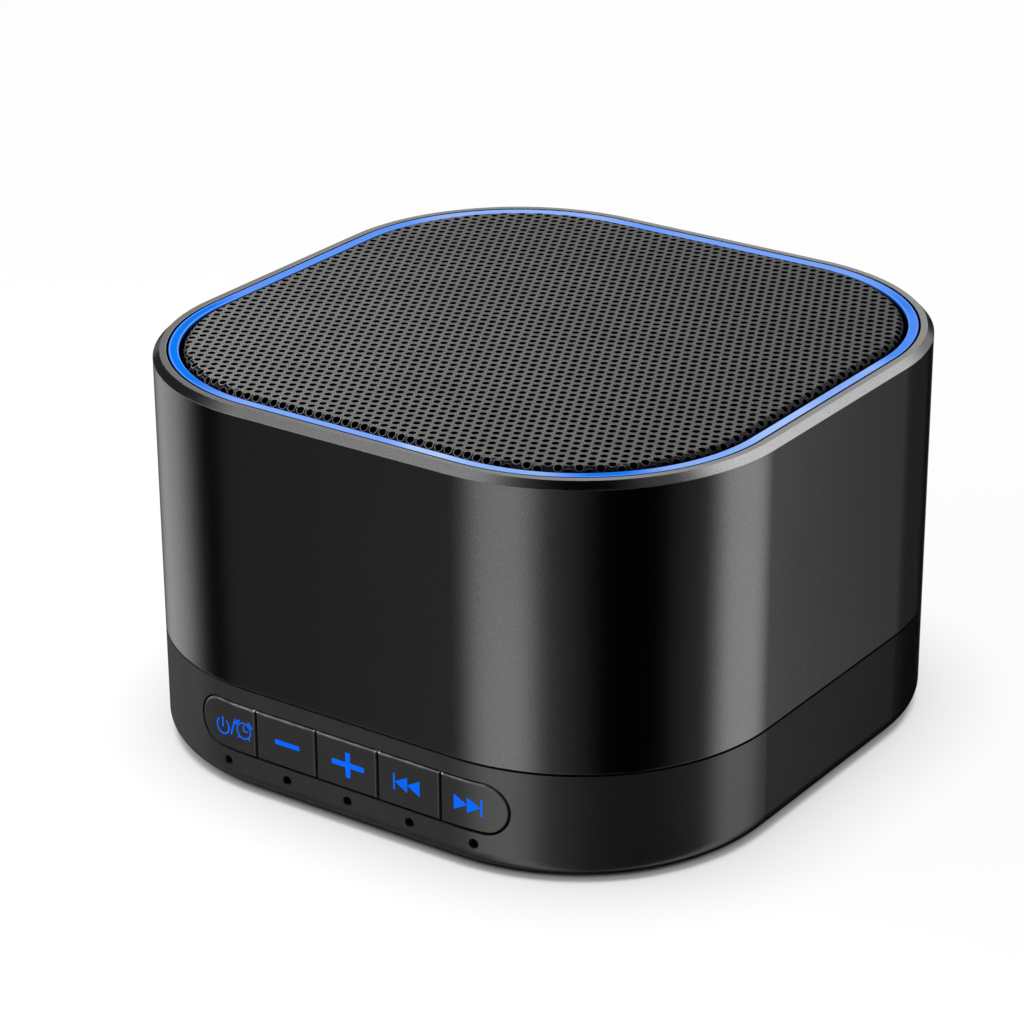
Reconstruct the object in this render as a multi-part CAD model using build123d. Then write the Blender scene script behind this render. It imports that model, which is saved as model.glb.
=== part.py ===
"""White noise sound machine: a round-cornered square table unit with five keys on the front of its base.

All sizes are millimetres. The origin is the middle of the surface that the feet stand on.
+Z is up and -Y is the front, where the keys are. "Inset" means a distance in from the outer side wall.
"""

import os
from math import cos, radians, sin, sqrt

from build123d import *

# ---------------------------------------------------------------- outer form
BODY_WIDTH = 100.0  # across the flats, both ways
CORNER_R = 31.7  # plan radius of the four corners
FOOT_STAND = 0.5  # air under the base
BASE_HEIGHT = 16.2  # side wall of the moulded base
SEAM_GAP = 0.28  # shadow line between base and sleeve
BODY_HEIGHT = 59.8  # underside of the base to the top of the rim
BASE_EDGE_R = 2.7  # rounding under the base
RIM_CHAMFER = 1.0
SLEEVE_FOOT_CHAMFER = 0.25

# ---------------------------------------------------------------- walls and ledges
BASE_WALL = 3.2
BASE_FLOOR = 2.2
SLEEVE_WALL = 2.8
SLEEVE_SKIRT = 1.6  # the sleeve round the base's spigot
RIM_WALL = 2.0  # the sleeve above its inner ledge
LEDGE_DEPTH = 4.4  # inner ledge of the sleeve below the rim
SHOULDER_INSET = 0.6  # where the seat of the sleeve begins
SPIGOT_RISE = 3.35  # height of the base's spigot above the seat
SPIGOT_END_GAP = 0.35
SLIDE_GAP = 0.15  # easy fit between nested shells

# ---------------------------------------------------------------- light ring and its channel
RING_GAP = 0.2  # dark line between rim and ring
RING_WIDTH = 1.6  # visible land
RING_FOOT_WIDTH = 7.6
RING_FOOT_THICK = 1.0
RING_DROP = 0.05  # ring top below the rim
FRAME_LIP_GAP = 0.1
FRAME_LIP_THICK = 1.4
CHANNEL_WALL = 1.45
CHANNEL_WIDTH = 4.1
CHANNEL_DEPTH = 4.8
CHANNEL_FLOOR = 1.2
RING_EDGE = 0.15
LIGHT_BOARD_THICK = 1.0
LIGHT_BOARD_GAP = 0.1
LAMP_SIZE = (3.5, 2.8, 0.9)  # length along the ring, width, height
LAMPS_PER_SIDE = 3
LAMP_PITCH = 14.0
LEAD_HOLE_R = 1.7  # where the light board's cable leaves the channel

# ---------------------------------------------------------------- grille
GRILLE_INSET = 4.5
GRILLE_PROUD = 0.4  # above the rim
GRILLE_THICK = 0.6
GRILLE_BEND_R = 1.0
MESH_HOLE_R = 0.57  # the real sheet's fine perforation
MESH_PITCH = 1.58  # both along a row and from row to row, with every second row half a pitch along
OPENING_SCALE = 5.0  # the solid sheet has the mesh's pattern at this many times its size
OPENING_MARGIN = 0.8  # plain border of the flat field

# ---------------------------------------------------------------- inner frame
DECK_THICK = 2.0
DECK_DROP = 2.1  # deck top below the frame's lip top
PILLAR_R = 4.0
SCREW_INSET = 19.0  # case screws and feet, in from two side walls

# ---------------------------------------------------------------- speaker
SPEAKER_HOLE_R = 26.8  # opening in the deck
GASKET_THICK = 0.5
FLANGE_R = 33.0
FLANGE_THICK = 1.2
FLANGE_MOUTH_R = 25.4
BASKET_R = 26.3  # basket wall under the flange
BASKET_SHEET = 1.0
BASKET_DEPTH = 13.0  # flange underside to basket floor
BASKET_FOOT_STEP = 1.0  # the basket's foot beyond the top plate
BASKET_HOLE_R = 14.0
BASKET_WINDOWS = 4
BASKET_WINDOW_ANGLE = 56.0
WINDOW_SILL = 3.0  # solid wall under a window
WINDOW_HEAD = 2.0  # solid wall over a window
ROLL_OUT_R = 25.0
ROLL_IN_R = 21.4
SURROUND_SHEET = 0.45
SURROUND_OUT_LIP = 2.2
SURROUND_IN_LIP = 1.1
CONE_R = 21.3
CONE_RIM = 1.4
CONE_DEPTH = 6.6
CONE_SHEET = 0.5
COIL_R = 8.0
COIL_FORMER = 0.4
COIL_LENGTH = 12.6
COIL_GAP = 0.35  # air on each side of the coil
DUST_CAP_RISE = 2.6
SPIDER_DROP = 10.0  # below the flange underside
SPIDER_SHEET = 0.4
SPIDER_WAVES = 3
TOP_PLATE_R = 17.0
TOP_PLATE_THICK = 3.0
MAGNET_R = 19.0
MAGNET_BORE_STEP = 1.5  # the magnet's hole is this much wider than the plate's
MAGNET_THICK = 7.0
YOKE_PLATE_THICK = 3.0
POLE_DROP = 0.5  # pole top below the top plate's face
TERMINAL_WIDTH = 8.0
TERMINAL_SHEET = 1.2
TERMINAL_OVERHANG = 2.6  # how far the solder tags stand out past the magnet
SPEAKER_SCREW_PCD = 59.6
SPEAKER_SCREWS = 4
SPEAKER_SCREW_LENGTH = 3.5

# ---------------------------------------------------------------- keys
KEY_COUNT = 5
KEY_PITCH = 10.95
KEY_ROW_HALF = 27.5  # half length of the window that the keys share
KEY_HEIGHT = 8.2
KEY_CENTRE = 9.65  # above the underside of the base
KEY_GAP = 0.3
KEY_EDGE_R = 0.28  # rounding of a cap's face
KEY_FLANGE = 0.8  # how far the hidden flange overlaps the wall, and its thickness
KEY_FLANGE_GAP = 0.1
KEY_STEM_R = 1.6
KEY_TRAVEL = 0.4
INDICATOR_R = 0.78
INDICATOR_CENTRE = 3.79

# ---------------------------------------------------------------- key board
KEY_BOARD_CLEARANCE = 2.64  # from the hindmost point of the keys' flanges to the board
KEY_BOARD_THICK = 1.2
KEY_BOARD_HALF = 28.0
KEY_BOARD_TOP = 15.2  # above the underside of the base
KEY_BOARD_LIFT = 0.2
SWITCH_SIZE = 4.5
SWITCH_THICK = 2.2
PLUNGER_R = 1.2
PLUNGER_PROUD = 1.0
PLUNGER_BORE_GAP = 0.08
PLUNGER_SEAT = 0.6  # length of plunger inside the switch
POST_LENGTH = 4.2
POST_WIDTH = 3.0
POST_GRIP = 1.4  # how deep the board's edge sits in its post
POST_TOP = 14.0
BOARD_SLOT_GAP = 0.05
INDICATOR_LAMP = (1.6, 0.8, 0.8)  # width, depth, height

# ---------------------------------------------------------------- main board
MAIN_BOARD_SIDE_INSET = 25.0  # the board's edges, in from the outer walls
MAIN_BOARD_FRONT_INSET = 22.0
MAIN_BOARD_BACK_INSET = 4.8
MAIN_BOARD_THICK = 1.6
MAIN_BOARD_CORNER = 3.0
STANDOFF_HEIGHT = 4.0
STANDOFF_R = 2.6
STANDOFF_EDGE = 4.0  # standoff centres, in from the board's front and side edges
STANDOFF_BACK_EDGE = 13.2
CHIPS = [  # centre x, centre y, width, depth, height
    (0.0, 4.0, 10.0, 10.0, 1.4),
    (12.0, 8.0, 5.2, 6.0, 1.7),
    (-12.0, 12.0, 5.0, 4.0, 1.6),
    (0.0, 26.0, 3.0, 3.0, 1.2),
]
CAPACITORS = [(-12.0, 20.0, 4.0, 9.0), (9.0, 20.0, 3.15, 7.0), (15.0, 14.5, 2.5, 5.5)]  # x, y, radius, rise
HEADER = (6.0, 4.6, 5.0)  # width, depth and height of a wire header
RIBBON_HEADER_THICK = 2.5
RIBBON_HEADER_MARGIN = 1.0  # beyond the ribbon, each side
SPEAKER_HEADER = (0.0, 14.0)
LIGHT_HEADER_EDGE = 5.0  # from the main board's side edge
RIBBON_HEADER_SETBACK = 4.0  # from the main board's front edge

# ---------------------------------------------------------------- power socket
SOCKET_WIDTH = 8.94
SOCKET_HEIGHT = 3.26
SOCKET_LENGTH = 7.4
SOCKET_SHEET = 0.3
SOCKET_RECESS = 1.0  # mouth of the socket behind the back wall's face
SOCKET_SLOT_GAP = 0.2
SOCKET_LANDING = (13.0, 7.4)  # shallow recess that a plug's grip enters
TONGUE_WIDTH = 6.2
TONGUE_THICK = 0.7
TONGUE_SETBACK = 1.2  # tongue's tip behind the mouth

# ---------------------------------------------------------------- fasteners and feet
CASE_SCREW_R = 1.5
CASE_SCREW_LENGTH = 20.0
CASE_HEAD_R = 2.8
CASE_HEAD_THICK = 2.0
PILOT_EXTRA = 1.0  # pilot hole beyond a case screw's tip
SCREW_CLEARANCE = 0.2
THREAD_BITE = 0.2
SMALL_SCREW_R = 1.1
SMALL_SCREW_LENGTH = 5.0
SMALL_HEAD_R = 2.0
SMALL_HEAD_THICK = 1.3
DRIVE_R = 0.9
DRIVE_DEPTH = 0.8
BOSS_TOP = 13.0  # above the underside of the base
BOSS_R = 4.0
HEAD_SEAT = 4.0  # counterbore floor above the underside of the base
FOOT_R = 6.0
FOOT_SEAT = 1.0  # depth of a foot's recess
FOOT_GAP = 0.1
FOOT_EDGE = 0.4
LABEL_SIZE = (44.0, 26.0)
LABEL_CORNER_R = 3.0
LABEL_DEPTH = 0.3

# ---------------------------------------------------------------- leads
WIRE_R = 0.7
WIRE_PITCH = 2.0
WIRE_BEND_R = 5.0
LIGHT_LEAD_TURN = 14.0  # where the light board's cable turns down, above its header
LIGHT_LEAD_FALL = 6.0  # how much it drops on its way across
SPEAKER_LEAD_TURNS = (0.25, 0.7)  # bends of a speaker lead, as shares of its drop
RIBBON_WIDTH = 8.0
RIBBON_THICK = 0.5
RIBBON_BEND_R = 0.9

# ---------------------------------------------------------------- levels that follow from the sizes above
BASE_Z = FOOT_STAND
FLOOR_Z = BASE_Z + BASE_FLOOR
SEAM_Z = BASE_Z + BASE_HEIGHT
SEAT_Z = SEAM_Z + SEAM_GAP
RIM_Z = BASE_Z + BODY_HEIGHT
LEDGE_Z = RIM_Z - LEDGE_DEPTH
LIP_Z = LEDGE_Z + FRAME_LIP_THICK
RING_FOOT_Z = LIP_Z + RING_FOOT_THICK
GRILLE_Z = RIM_Z + GRILLE_PROUD
CHANNEL_FLOOR_Z = LIP_Z - CHANNEL_DEPTH
DECK_Z = LIP_Z - DECK_DROP
FLANGE_Z = DECK_Z + GASKET_THICK
FLANGE_TOP_Z = FLANGE_Z + FLANGE_THICK
BASKET_FLOOR_Z = FLANGE_Z - BASKET_DEPTH
MAGNET_TOP_Z = BASKET_FLOOR_Z - TOP_PLATE_THICK
YOKE_TOP_Z = MAGNET_TOP_Z - MAGNET_THICK
CONE_NECK_Z = FLANGE_TOP_Z - CONE_DEPTH
BOSS_Z = BASE_Z + BOSS_TOP
KEY_Z = BASE_Z + KEY_CENTRE
INDICATOR_Z = BASE_Z + INDICATOR_CENTRE
MAIN_BOARD_Z = FLOOR_Z + STANDOFF_HEIGHT
MAIN_TOP_Z = MAIN_BOARD_Z + MAIN_BOARD_THICK
SOCKET_Z = MAIN_TOP_Z + SOCKET_HEIGHT / 2
HEADER_TOP_Z = MAIN_TOP_Z + HEADER[2]
HALF = BODY_WIDTH / 2
SCREW_PLACE = HALF - SCREW_INSET
BASKET_FOOT_R = TOP_PLATE_R + BASKET_FOOT_STEP
TERMINAL_END_Y = MAGNET_R + TERMINAL_OVERHANG
CORNER_CENTRE = HALF - CORNER_R
FLANGE_INSET = BASE_WALL + KEY_FLANGE_GAP
FLANGE_BACK_R = CORNER_R - FLANGE_INSET - KEY_FLANGE
FLANGE_END = KEY_ROW_HALF + KEY_FLANGE
FLANGE_BACK_Y = -CORNER_CENTRE - sqrt(FLANGE_BACK_R**2 - (FLANGE_END - CORNER_CENTRE) ** 2)
KEY_BOARD_Y = FLANGE_BACK_Y + KEY_BOARD_CLEARANCE
SWITCH_FACE_Y = KEY_BOARD_Y - SWITCH_THICK
STEM_END_Y = SWITCH_FACE_Y - PLUNGER_PROUD
KEY_BOARD_BACK_Y = KEY_BOARD_Y + KEY_BOARD_THICK
SOCKET_MOUTH_Y = HALF - SOCKET_RECESS
MAIN_BOARD_HALF = HALF - MAIN_BOARD_SIDE_INSET
MAIN_BOARD_FRONT = -HALF + MAIN_BOARD_FRONT_INSET
MAIN_BOARD_BACK = HALF - MAIN_BOARD_BACK_INSET
STANDOFF_X = MAIN_BOARD_HALF - STANDOFF_EDGE
STANDOFF_YS = (MAIN_BOARD_FRONT + STANDOFF_EDGE, MAIN_BOARD_BACK - STANDOFF_BACK_EDGE)
STANDOFF_PLACES = [(side * STANDOFF_X, y) for side in (-1, 1) for y in STANDOFF_YS]
LIGHT_HEADER = (MAIN_BOARD_HALF - LIGHT_HEADER_EDGE, 0.0)
RIBBON_HEADER_Y = MAIN_BOARD_FRONT + RIBBON_HEADER_SETBACK
COIL_BORE_R = COIL_R + COIL_GAP
POLE_R = COIL_R - COIL_FORMER - COIL_GAP
CHANNEL_INSET = SLEEVE_WALL + SLIDE_GAP
CHANNEL_IN = CHANNEL_INSET + CHANNEL_WALL
CHANNEL_OUT = CHANNEL_IN + CHANNEL_WIDTH
DECK_INSET = CHANNEL_OUT + CHANNEL_WALL
RING_INSET = RIM_WALL + RING_GAP
OPENING_R = MESH_HOLE_R * OPENING_SCALE
OPENING_PITCH = MESH_PITCH * OPENING_SCALE
SPIGOT_INSET = SLEEVE_SKIRT + SLIDE_GAP
SPIGOT_Z = SEAT_Z + SPIGOT_RISE
CORNERS = [(x, y) for x in (-1, 1) for y in (-1, 1)]
SCREW_PLACES = [(x * SCREW_PLACE, y * SCREW_PLACE) for x, y in CORNERS]
TOUCH = 1e-4  # two places closer than this are the same
OVERCUT = 1.0  # how far a cutting shape runs past the wall that it cuts


# ---------------------------------------------------------------- shared shapes
def plan(inset):
    """The unit's plan outline, drawn in by an inset."""
    side = BODY_WIDTH - 2 * inset
    return RectangleRounded(side, side, CORNER_R - inset)


def prism(inset, low, high):
    return Pos(0, 0, low) * extrude(plan(inset), amount=high - low)


def band(outer_inset, inner_inset, low, high):
    """An upright wall that follows the plan between two insets."""
    return prism(outer_inset, low, high) - prism(inner_inset, low, high)


def rod(radius, low, high, x=0.0, y=0.0):
    return Pos(x, y, (low + high) / 2) * Cylinder(radius, high - low)


def tube(outer_r, inner_r, low, high, x=0.0, y=0.0):
    return rod(outer_r, low, high, x, y) - rod(inner_r, low, high, x, y)


def block(size_x, size_y, size_z, x, y, low):
    return Pos(x, y, low + size_z / 2) * Box(size_x, size_y, size_z)


def along_y(sketch, low_y, high_y):
    """A sketch drawn in X and Z, carried along Y."""
    return extrude(Plane.XZ.offset(-high_y) * sketch, amount=high_y - low_y)


def rod_y(radius, low_y, high_y, x, z):
    return along_y(Pos(x, z) * Circle(radius), low_y, high_y)


def lowest_edges(shape):
    return shape.edges().group_by(Axis.Z)[0]


def highest_edges(shape):
    return shape.edges().group_by(Axis.Z)[-1]


def ring_of_revolution(points):
    """A closed profile of (radius, height) points, turned about Z."""
    face = make_face(Plane.XZ * Polyline(*points, close=True))
    return revolve(face, Axis.Z)


def screw(radius, length, head_r, head_thick, x, y, under_head, pointing):
    """A pan-head screw whose head bears at under_head; pointing is +1 for a shank that runs up."""
    far, head = under_head + pointing * length, under_head - pointing * head_thick
    shank = rod(radius, min(under_head, far), max(under_head, far), x, y)
    cap = rod(head_r, min(under_head, head), max(under_head, head), x, y)
    recess_end = head + pointing * DRIVE_DEPTH
    recess = rod(DRIVE_R, min(head, recess_end), max(head, recess_end), x, y)
    return shank + cap - recess


def group(solids):
    return Compound(children=[solid.solids()[0] for solid in solids])


def lead(points, radius, bend_radii):
    """A round wire along straight runs joined by tangent arcs."""
    path = FilletPolyline(*points, radius=bend_radii)
    start = Plane(origin=path @ 0, z_dir=path % 0)
    return sweep(start * Circle(radius), path=path)


# ---------------------------------------------------------------- base
def key_centres():
    return [(i - (KEY_COUNT - 1) / 2) * KEY_PITCH for i in range(KEY_COUNT)]


def key_row(grow):
    """Outline of the whole key row, larger or smaller than its window."""
    return Pos(0, KEY_Z) * SlotOverall(2 * (KEY_ROW_HALF + grow), KEY_HEIGHT + 2 * grow)


def socket_outline(grow):
    return Pos(0, SOCKET_Z) * SlotOverall(SOCKET_WIDTH + 2 * grow, SOCKET_HEIGHT + 2 * grow)


def key_board_posts():
    """Two grooved posts that hold the key board by its ends."""
    posts = []
    y, height = KEY_BOARD_Y + KEY_BOARD_THICK / 2, BASE_Z + POST_TOP - FLOOR_Z
    groove_depth, groove_width = POST_GRIP + BOARD_SLOT_GAP, KEY_BOARD_THICK + 2 * BOARD_SLOT_GAP
    inner = KEY_BOARD_HALF - POST_GRIP
    for side in (-1, 1):
        post = block(POST_WIDTH, POST_LENGTH, height, side * (inner + POST_WIDTH / 2), y, FLOOR_Z)
        groove = block(groove_depth, groove_width, height, side * (inner + groove_depth / 2), y, FLOOR_Z)
        posts.append(post - groove)
    return posts


def base_shell():
    shell = fillet(lowest_edges(prism(0, BASE_Z, SEAM_Z)), BASE_EDGE_R)
    shell += prism(SHOULDER_INSET, SEAM_Z, SEAT_Z)
    shell += prism(SPIGOT_INSET, SEAT_Z, SPIGOT_Z)
    shell -= prism(BASE_WALL, FLOOR_Z, SPIGOT_Z)
    for x, y in SCREW_PLACES:
        shell += rod(BOSS_R, FLOOR_Z, BOSS_Z, x, y)
    for x, y in STANDOFF_PLACES:
        shell += rod(STANDOFF_R, FLOOR_Z, MAIN_BOARD_Z, x, y)
        shell -= rod(SMALL_SCREW_R - THREAD_BITE, FLOOR_Z, MAIN_BOARD_Z, x, y)
    for post in key_board_posts():
        shell += post
    for x, y in SCREW_PLACES:
        shell -= rod(FOOT_R + FOOT_GAP, BASE_Z, BASE_Z + FOOT_SEAT, x, y)
        shell -= rod(CASE_HEAD_R + SCREW_CLEARANCE, BASE_Z, BASE_Z + HEAD_SEAT, x, y)
        shell -= rod(CASE_SCREW_R + SCREW_CLEARANCE, BASE_Z, BOSS_Z, x, y)
    shell -= along_y(key_row(0), -HALF - OVERCUT, SWITCH_FACE_Y)
    for x in key_centres():
        shell -= rod_y(INDICATOR_R, -HALF - OVERCUT, SWITCH_FACE_Y, x, INDICATOR_Z)
    shell -= along_y(socket_outline(SOCKET_SLOT_GAP), HALF - BASE_WALL - OVERCUT, HALF + OVERCUT)
    shell -= along_y(Pos(0, SOCKET_Z) * SlotOverall(*SOCKET_LANDING), SOCKET_MOUTH_Y, HALF + OVERCUT)
    label = RectangleRounded(*LABEL_SIZE, LABEL_CORNER_R)
    return shell - Pos(0, 0, BASE_Z) * extrude(label, amount=LABEL_DEPTH)


# ---------------------------------------------------------------- sleeve and frame
def sleeve():
    tube_wall = prism(0, SEAT_Z, RIM_Z)
    tube_wall = chamfer(highest_edges(tube_wall), RIM_CHAMFER)
    tube_wall = chamfer(lowest_edges(tube_wall), SLEEVE_FOOT_CHAMFER)
    tube_wall -= prism(SLEEVE_SKIRT, SEAT_Z, SPIGOT_Z + SPIGOT_END_GAP)
    return tube_wall - prism(SLEEVE_WALL, SEAT_Z, LEDGE_Z) - prism(RIM_WALL, LEDGE_Z, RIM_Z)


def top_frame():
    underside = CHANNEL_FLOOR_Z - CHANNEL_FLOOR
    deck_low = DECK_Z - DECK_THICK
    frame = band(RIM_WALL + FRAME_LIP_GAP, CHANNEL_IN, LEDGE_Z, LIP_Z)
    frame += band(CHANNEL_INSET, CHANNEL_IN, underside, LIP_Z)
    frame += band(CHANNEL_INSET, DECK_INSET, underside, CHANNEL_FLOOR_Z)
    frame += band(CHANNEL_OUT, DECK_INSET, underside, LIP_Z)
    frame += prism(CHANNEL_OUT, deck_low, DECK_Z)
    frame -= rod(SPEAKER_HOLE_R, deck_low, DECK_Z)
    pilot_end = BASE_Z + HEAD_SEAT + CASE_SCREW_LENGTH + PILOT_EXTRA
    for x, y in SCREW_PLACES:
        frame += rod(PILLAR_R, BOSS_Z, deck_low, x, y)
        frame -= rod(CASE_SCREW_R - THREAD_BITE, BOSS_Z, pilot_end, x, y)
    for x, y in speaker_screw_places():
        frame -= rod(SMALL_SCREW_R - THREAD_BITE, deck_low, DECK_Z, x, y)
    return frame - rod(LEAD_HOLE_R, underside, CHANNEL_FLOOR_Z, light_lead_x())


def light_ring():
    foot = band(RING_INSET, RING_INSET + RING_FOOT_WIDTH, LIP_Z, RING_FOOT_Z)
    land = band(RING_INSET, RING_INSET + RING_WIDTH, LIP_Z, RIM_Z - RING_DROP)
    return foot + chamfer(highest_edges(land), RING_EDGE)


def light_board():
    outer, inner = CHANNEL_IN + LIGHT_BOARD_GAP, CHANNEL_OUT - LIGHT_BOARD_GAP
    return band(outer, inner, CHANNEL_FLOOR_Z, CHANNEL_FLOOR_Z + LIGHT_BOARD_THICK)


def ring_lamps():
    """Lamps under the ring: three along each side and one at each corner."""
    inset = (CHANNEL_IN + CHANNEL_OUT) / 2
    lamp = Pos(0, 0, CHANNEL_FLOOR_Z + LIGHT_BOARD_THICK + LAMP_SIZE[2] / 2) * Box(*LAMP_SIZE)
    lamps = []
    for quarter in range(4):
        for step in range(LAMPS_PER_SIDE):
            along = (step - (LAMPS_PER_SIDE - 1) / 2) * LAMP_PITCH
            lamps.append(Rot(0, 0, 90 * quarter) * Pos(along, inset - HALF, 0) * lamp)
    corner = CORNER_CENTRE + (CORNER_R - inset) * sqrt(0.5)
    for x, y in CORNERS:
        lamps.append(Pos(x * corner, y * corner, 0) * Rot(0, 0, -45 * x * y) * lamp)
    return group(lamps)


def grille():
    """A formed sheet: flat field, rolled edge and a short skirt that stands on the light ring's foot."""
    outer = fillet(highest_edges(prism(GRILLE_INSET, RING_FOOT_Z, GRILLE_Z)), GRILLE_BEND_R)
    hollow = prism(GRILLE_INSET + GRILLE_THICK, RING_FOOT_Z, GRILLE_Z - GRILLE_THICK)
    hollow = fillet(highest_edges(hollow), GRILLE_BEND_R - GRILLE_THICK)
    low, high = GRILLE_Z - 2 * GRILLE_THICK, GRILLE_Z + OVERCUT
    return outer - hollow - [rod(OPENING_R, low, high, x, y) for x, y in opening_places()]


def opening_places():
    """Staggered openings inside the flat field."""
    border = GRILLE_INSET + GRILLE_BEND_R + OPENING_MARGIN + OPENING_R
    reach, corner_r = HALF - border, CORNER_R - border
    rows = int(reach / OPENING_PITCH)
    places = []
    for row in range(-rows, rows + 1):
        shift = OPENING_PITCH / 2 if row % 2 else 0.0
        for column in range(-rows - 1, rows + 2):
            x, y = column * OPENING_PITCH + shift, row * OPENING_PITCH
            over_x, over_y = max(abs(x) - reach + corner_r, 0), max(abs(y) - reach + corner_r, 0)
            if sqrt(over_x**2 + over_y**2) <= corner_r:
                places.append((x, y))
    return places


# ---------------------------------------------------------------- speaker
def speaker_screw_places():
    turns = [360 / SPEAKER_SCREWS * i for i in range(SPEAKER_SCREWS)]
    return [(SPEAKER_SCREW_PCD / 2 * cos(radians(t)), SPEAKER_SCREW_PCD / 2 * sin(radians(t))) for t in turns]


def speaker_gasket():
    return with_screw_holes(tube(FLANGE_R, SPEAKER_HOLE_R, DECK_Z, FLANGE_Z))


def with_screw_holes(plate):
    for x, y in speaker_screw_places():
        plate -= rod(SMALL_SCREW_R + SCREW_CLEARANCE, DECK_Z, FLANGE_TOP_Z, x, y)
    return plate


def speaker_basket():
    """Pressed basket: a flange, a tapered wall with windows, and a floor on the top plate."""
    low, floor_top = BASKET_FLOOR_Z, BASKET_FLOOR_Z + BASKET_SHEET
    basket = ring_of_revolution(
        [
            (FLANGE_MOUTH_R, FLANGE_TOP_Z), (FLANGE_R, FLANGE_TOP_Z), (FLANGE_R, FLANGE_Z),
            (BASKET_R, FLANGE_Z), (BASKET_FOOT_R, floor_top), (BASKET_FOOT_R, low),
            (BASKET_HOLE_R, low), (BASKET_HOLE_R, floor_top),
            (BASKET_FOOT_R - BASKET_SHEET, floor_top), (BASKET_R - BASKET_SHEET, FLANGE_Z),
            (FLANGE_MOUTH_R, FLANGE_Z),
        ]
    )
    reach = 2 * BASKET_R
    half_width = reach * sin(radians(BASKET_WINDOW_ANGLE / 2))
    wedge = make_face(Polyline((0, 0), (reach, -half_width), (reach, half_width), close=True))
    window = extrude(wedge, amount=BASKET_DEPTH - WINDOW_SILL - WINDOW_HEAD)
    for i in range(BASKET_WINDOWS):
        basket -= Pos(0, 0, low + WINDOW_SILL) * Rot(0, 0, 45 + 360 / BASKET_WINDOWS * i) * window
    return with_screw_holes(basket)


def speaker_surround():
    """A rubber half roll that joins the cone's rim to the basket's flange."""
    middle, roll_r = (ROLL_OUT_R + ROLL_IN_R) / 2, (ROLL_OUT_R - ROLL_IN_R) / 2
    roll = Pos(middle, 0) * (Circle(roll_r) - Circle(roll_r - SURROUND_SHEET))
    roll &= Pos(middle, roll_r / 2) * Rectangle(2 * roll_r, roll_r)
    low, high = (0, SURROUND_SHEET)
    outer = flat_lip(ROLL_OUT_R - SURROUND_SHEET, ROLL_OUT_R + SURROUND_OUT_LIP, low, high)
    inner = flat_lip(ROLL_IN_R - SURROUND_IN_LIP, ROLL_IN_R + SURROUND_SHEET, low, high)
    return revolve(Plane.XZ * Pos(0, FLANGE_TOP_Z) * (roll + outer + inner), Axis.Z)


def flat_lip(inner_r, outer_r, low, high):
    return Pos((inner_r + outer_r) / 2, (low + high) / 2) * Rectangle(outer_r - inner_r, high - low)


def speaker_cone():
    top, rim = FLANGE_TOP_Z, CONE_R - CONE_RIM
    return ring_of_revolution(
        [
            (CONE_R, top), (CONE_R, top - CONE_SHEET), (rim, top - CONE_SHEET),
            (COIL_R, CONE_NECK_Z - CONE_SHEET), (COIL_R, CONE_NECK_Z), (rim, top),
        ]
    )


def dust_cap():
    """A shallow dome over the coil, glued inside the cone's neck."""
    sphere_r = (COIL_R**2 + DUST_CAP_RISE**2) / (2 * DUST_CAP_RISE)
    centre = Pos(0, 0, CONE_NECK_Z + DUST_CAP_RISE - sphere_r)
    shell = centre * (Sphere(sphere_r) - Sphere(sphere_r - CONE_SHEET))
    return shell & rod(COIL_R, CONE_NECK_Z, CONE_NECK_Z + 2 * DUST_CAP_RISE)


def voice_coil():
    """Former with its winding, hung from the cone's neck."""
    return tube(COIL_R, COIL_R - COIL_FORMER, CONE_NECK_Z - COIL_LENGTH, CONE_NECK_Z)


def speaker_spider():
    """Corrugated disc that centres the coil; its rim is glued inside the basket."""
    z = FLANGE_Z - SPIDER_DROP
    slope = (BASKET_R - BASKET_FOOT_R) / (BASKET_DEPTH - BASKET_SHEET)
    rise = BASKET_DEPTH - BASKET_SHEET - SPIDER_DROP - SPIDER_SHEET
    outer = BASKET_FOOT_R - BASKET_SHEET + slope * rise
    step = (outer - COIL_BORE_R) / (2 * SPIDER_WAVES)
    upper, lower = [], []
    for i in range(2 * SPIDER_WAVES + 1):
        lift = SPIDER_SHEET if i % 2 else 0.0
        upper.append((COIL_BORE_R + i * step, z + lift + SPIDER_SHEET))
        lower.append((COIL_BORE_R + i * step, z + lift))
    return ring_of_revolution(upper + lower[::-1])


def speaker_top_plate():
    return tube(TOP_PLATE_R, COIL_BORE_R, MAGNET_TOP_Z, BASKET_FLOOR_Z)


def speaker_magnet():
    return tube(MAGNET_R, COIL_BORE_R + MAGNET_BORE_STEP, YOKE_TOP_Z, MAGNET_TOP_Z)


def speaker_yoke():
    """Back plate and pole piece in one."""
    pole = rod(POLE_R, YOKE_TOP_Z, BASKET_FLOOR_Z - POLE_DROP)
    return pole + rod(TOP_PLATE_R, YOKE_TOP_Z - YOKE_PLATE_THICK, YOKE_TOP_Z)


def speaker_terminal():
    """Fibre strip with solder tags, fixed to the side of the top plate."""
    strip_y = TOP_PLATE_R + TERMINAL_SHEET / 2
    strip = block(TERMINAL_WIDTH, TERMINAL_SHEET, TOP_PLATE_THICK, 0, strip_y, MAGNET_TOP_Z)
    reach, tag_y = TERMINAL_END_Y - TOP_PLATE_R, (TERMINAL_END_Y + TOP_PLATE_R) / 2
    return strip + block(TERMINAL_WIDTH, reach, TERMINAL_SHEET, 0, tag_y, MAGNET_TOP_Z)


def speaker_screws():
    return group(
        screw(SMALL_SCREW_R, SPEAKER_SCREW_LENGTH, SMALL_HEAD_R, SMALL_HEAD_THICK, x, y, FLANGE_TOP_Z, -1)
        for x, y in speaker_screw_places()
    )


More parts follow.
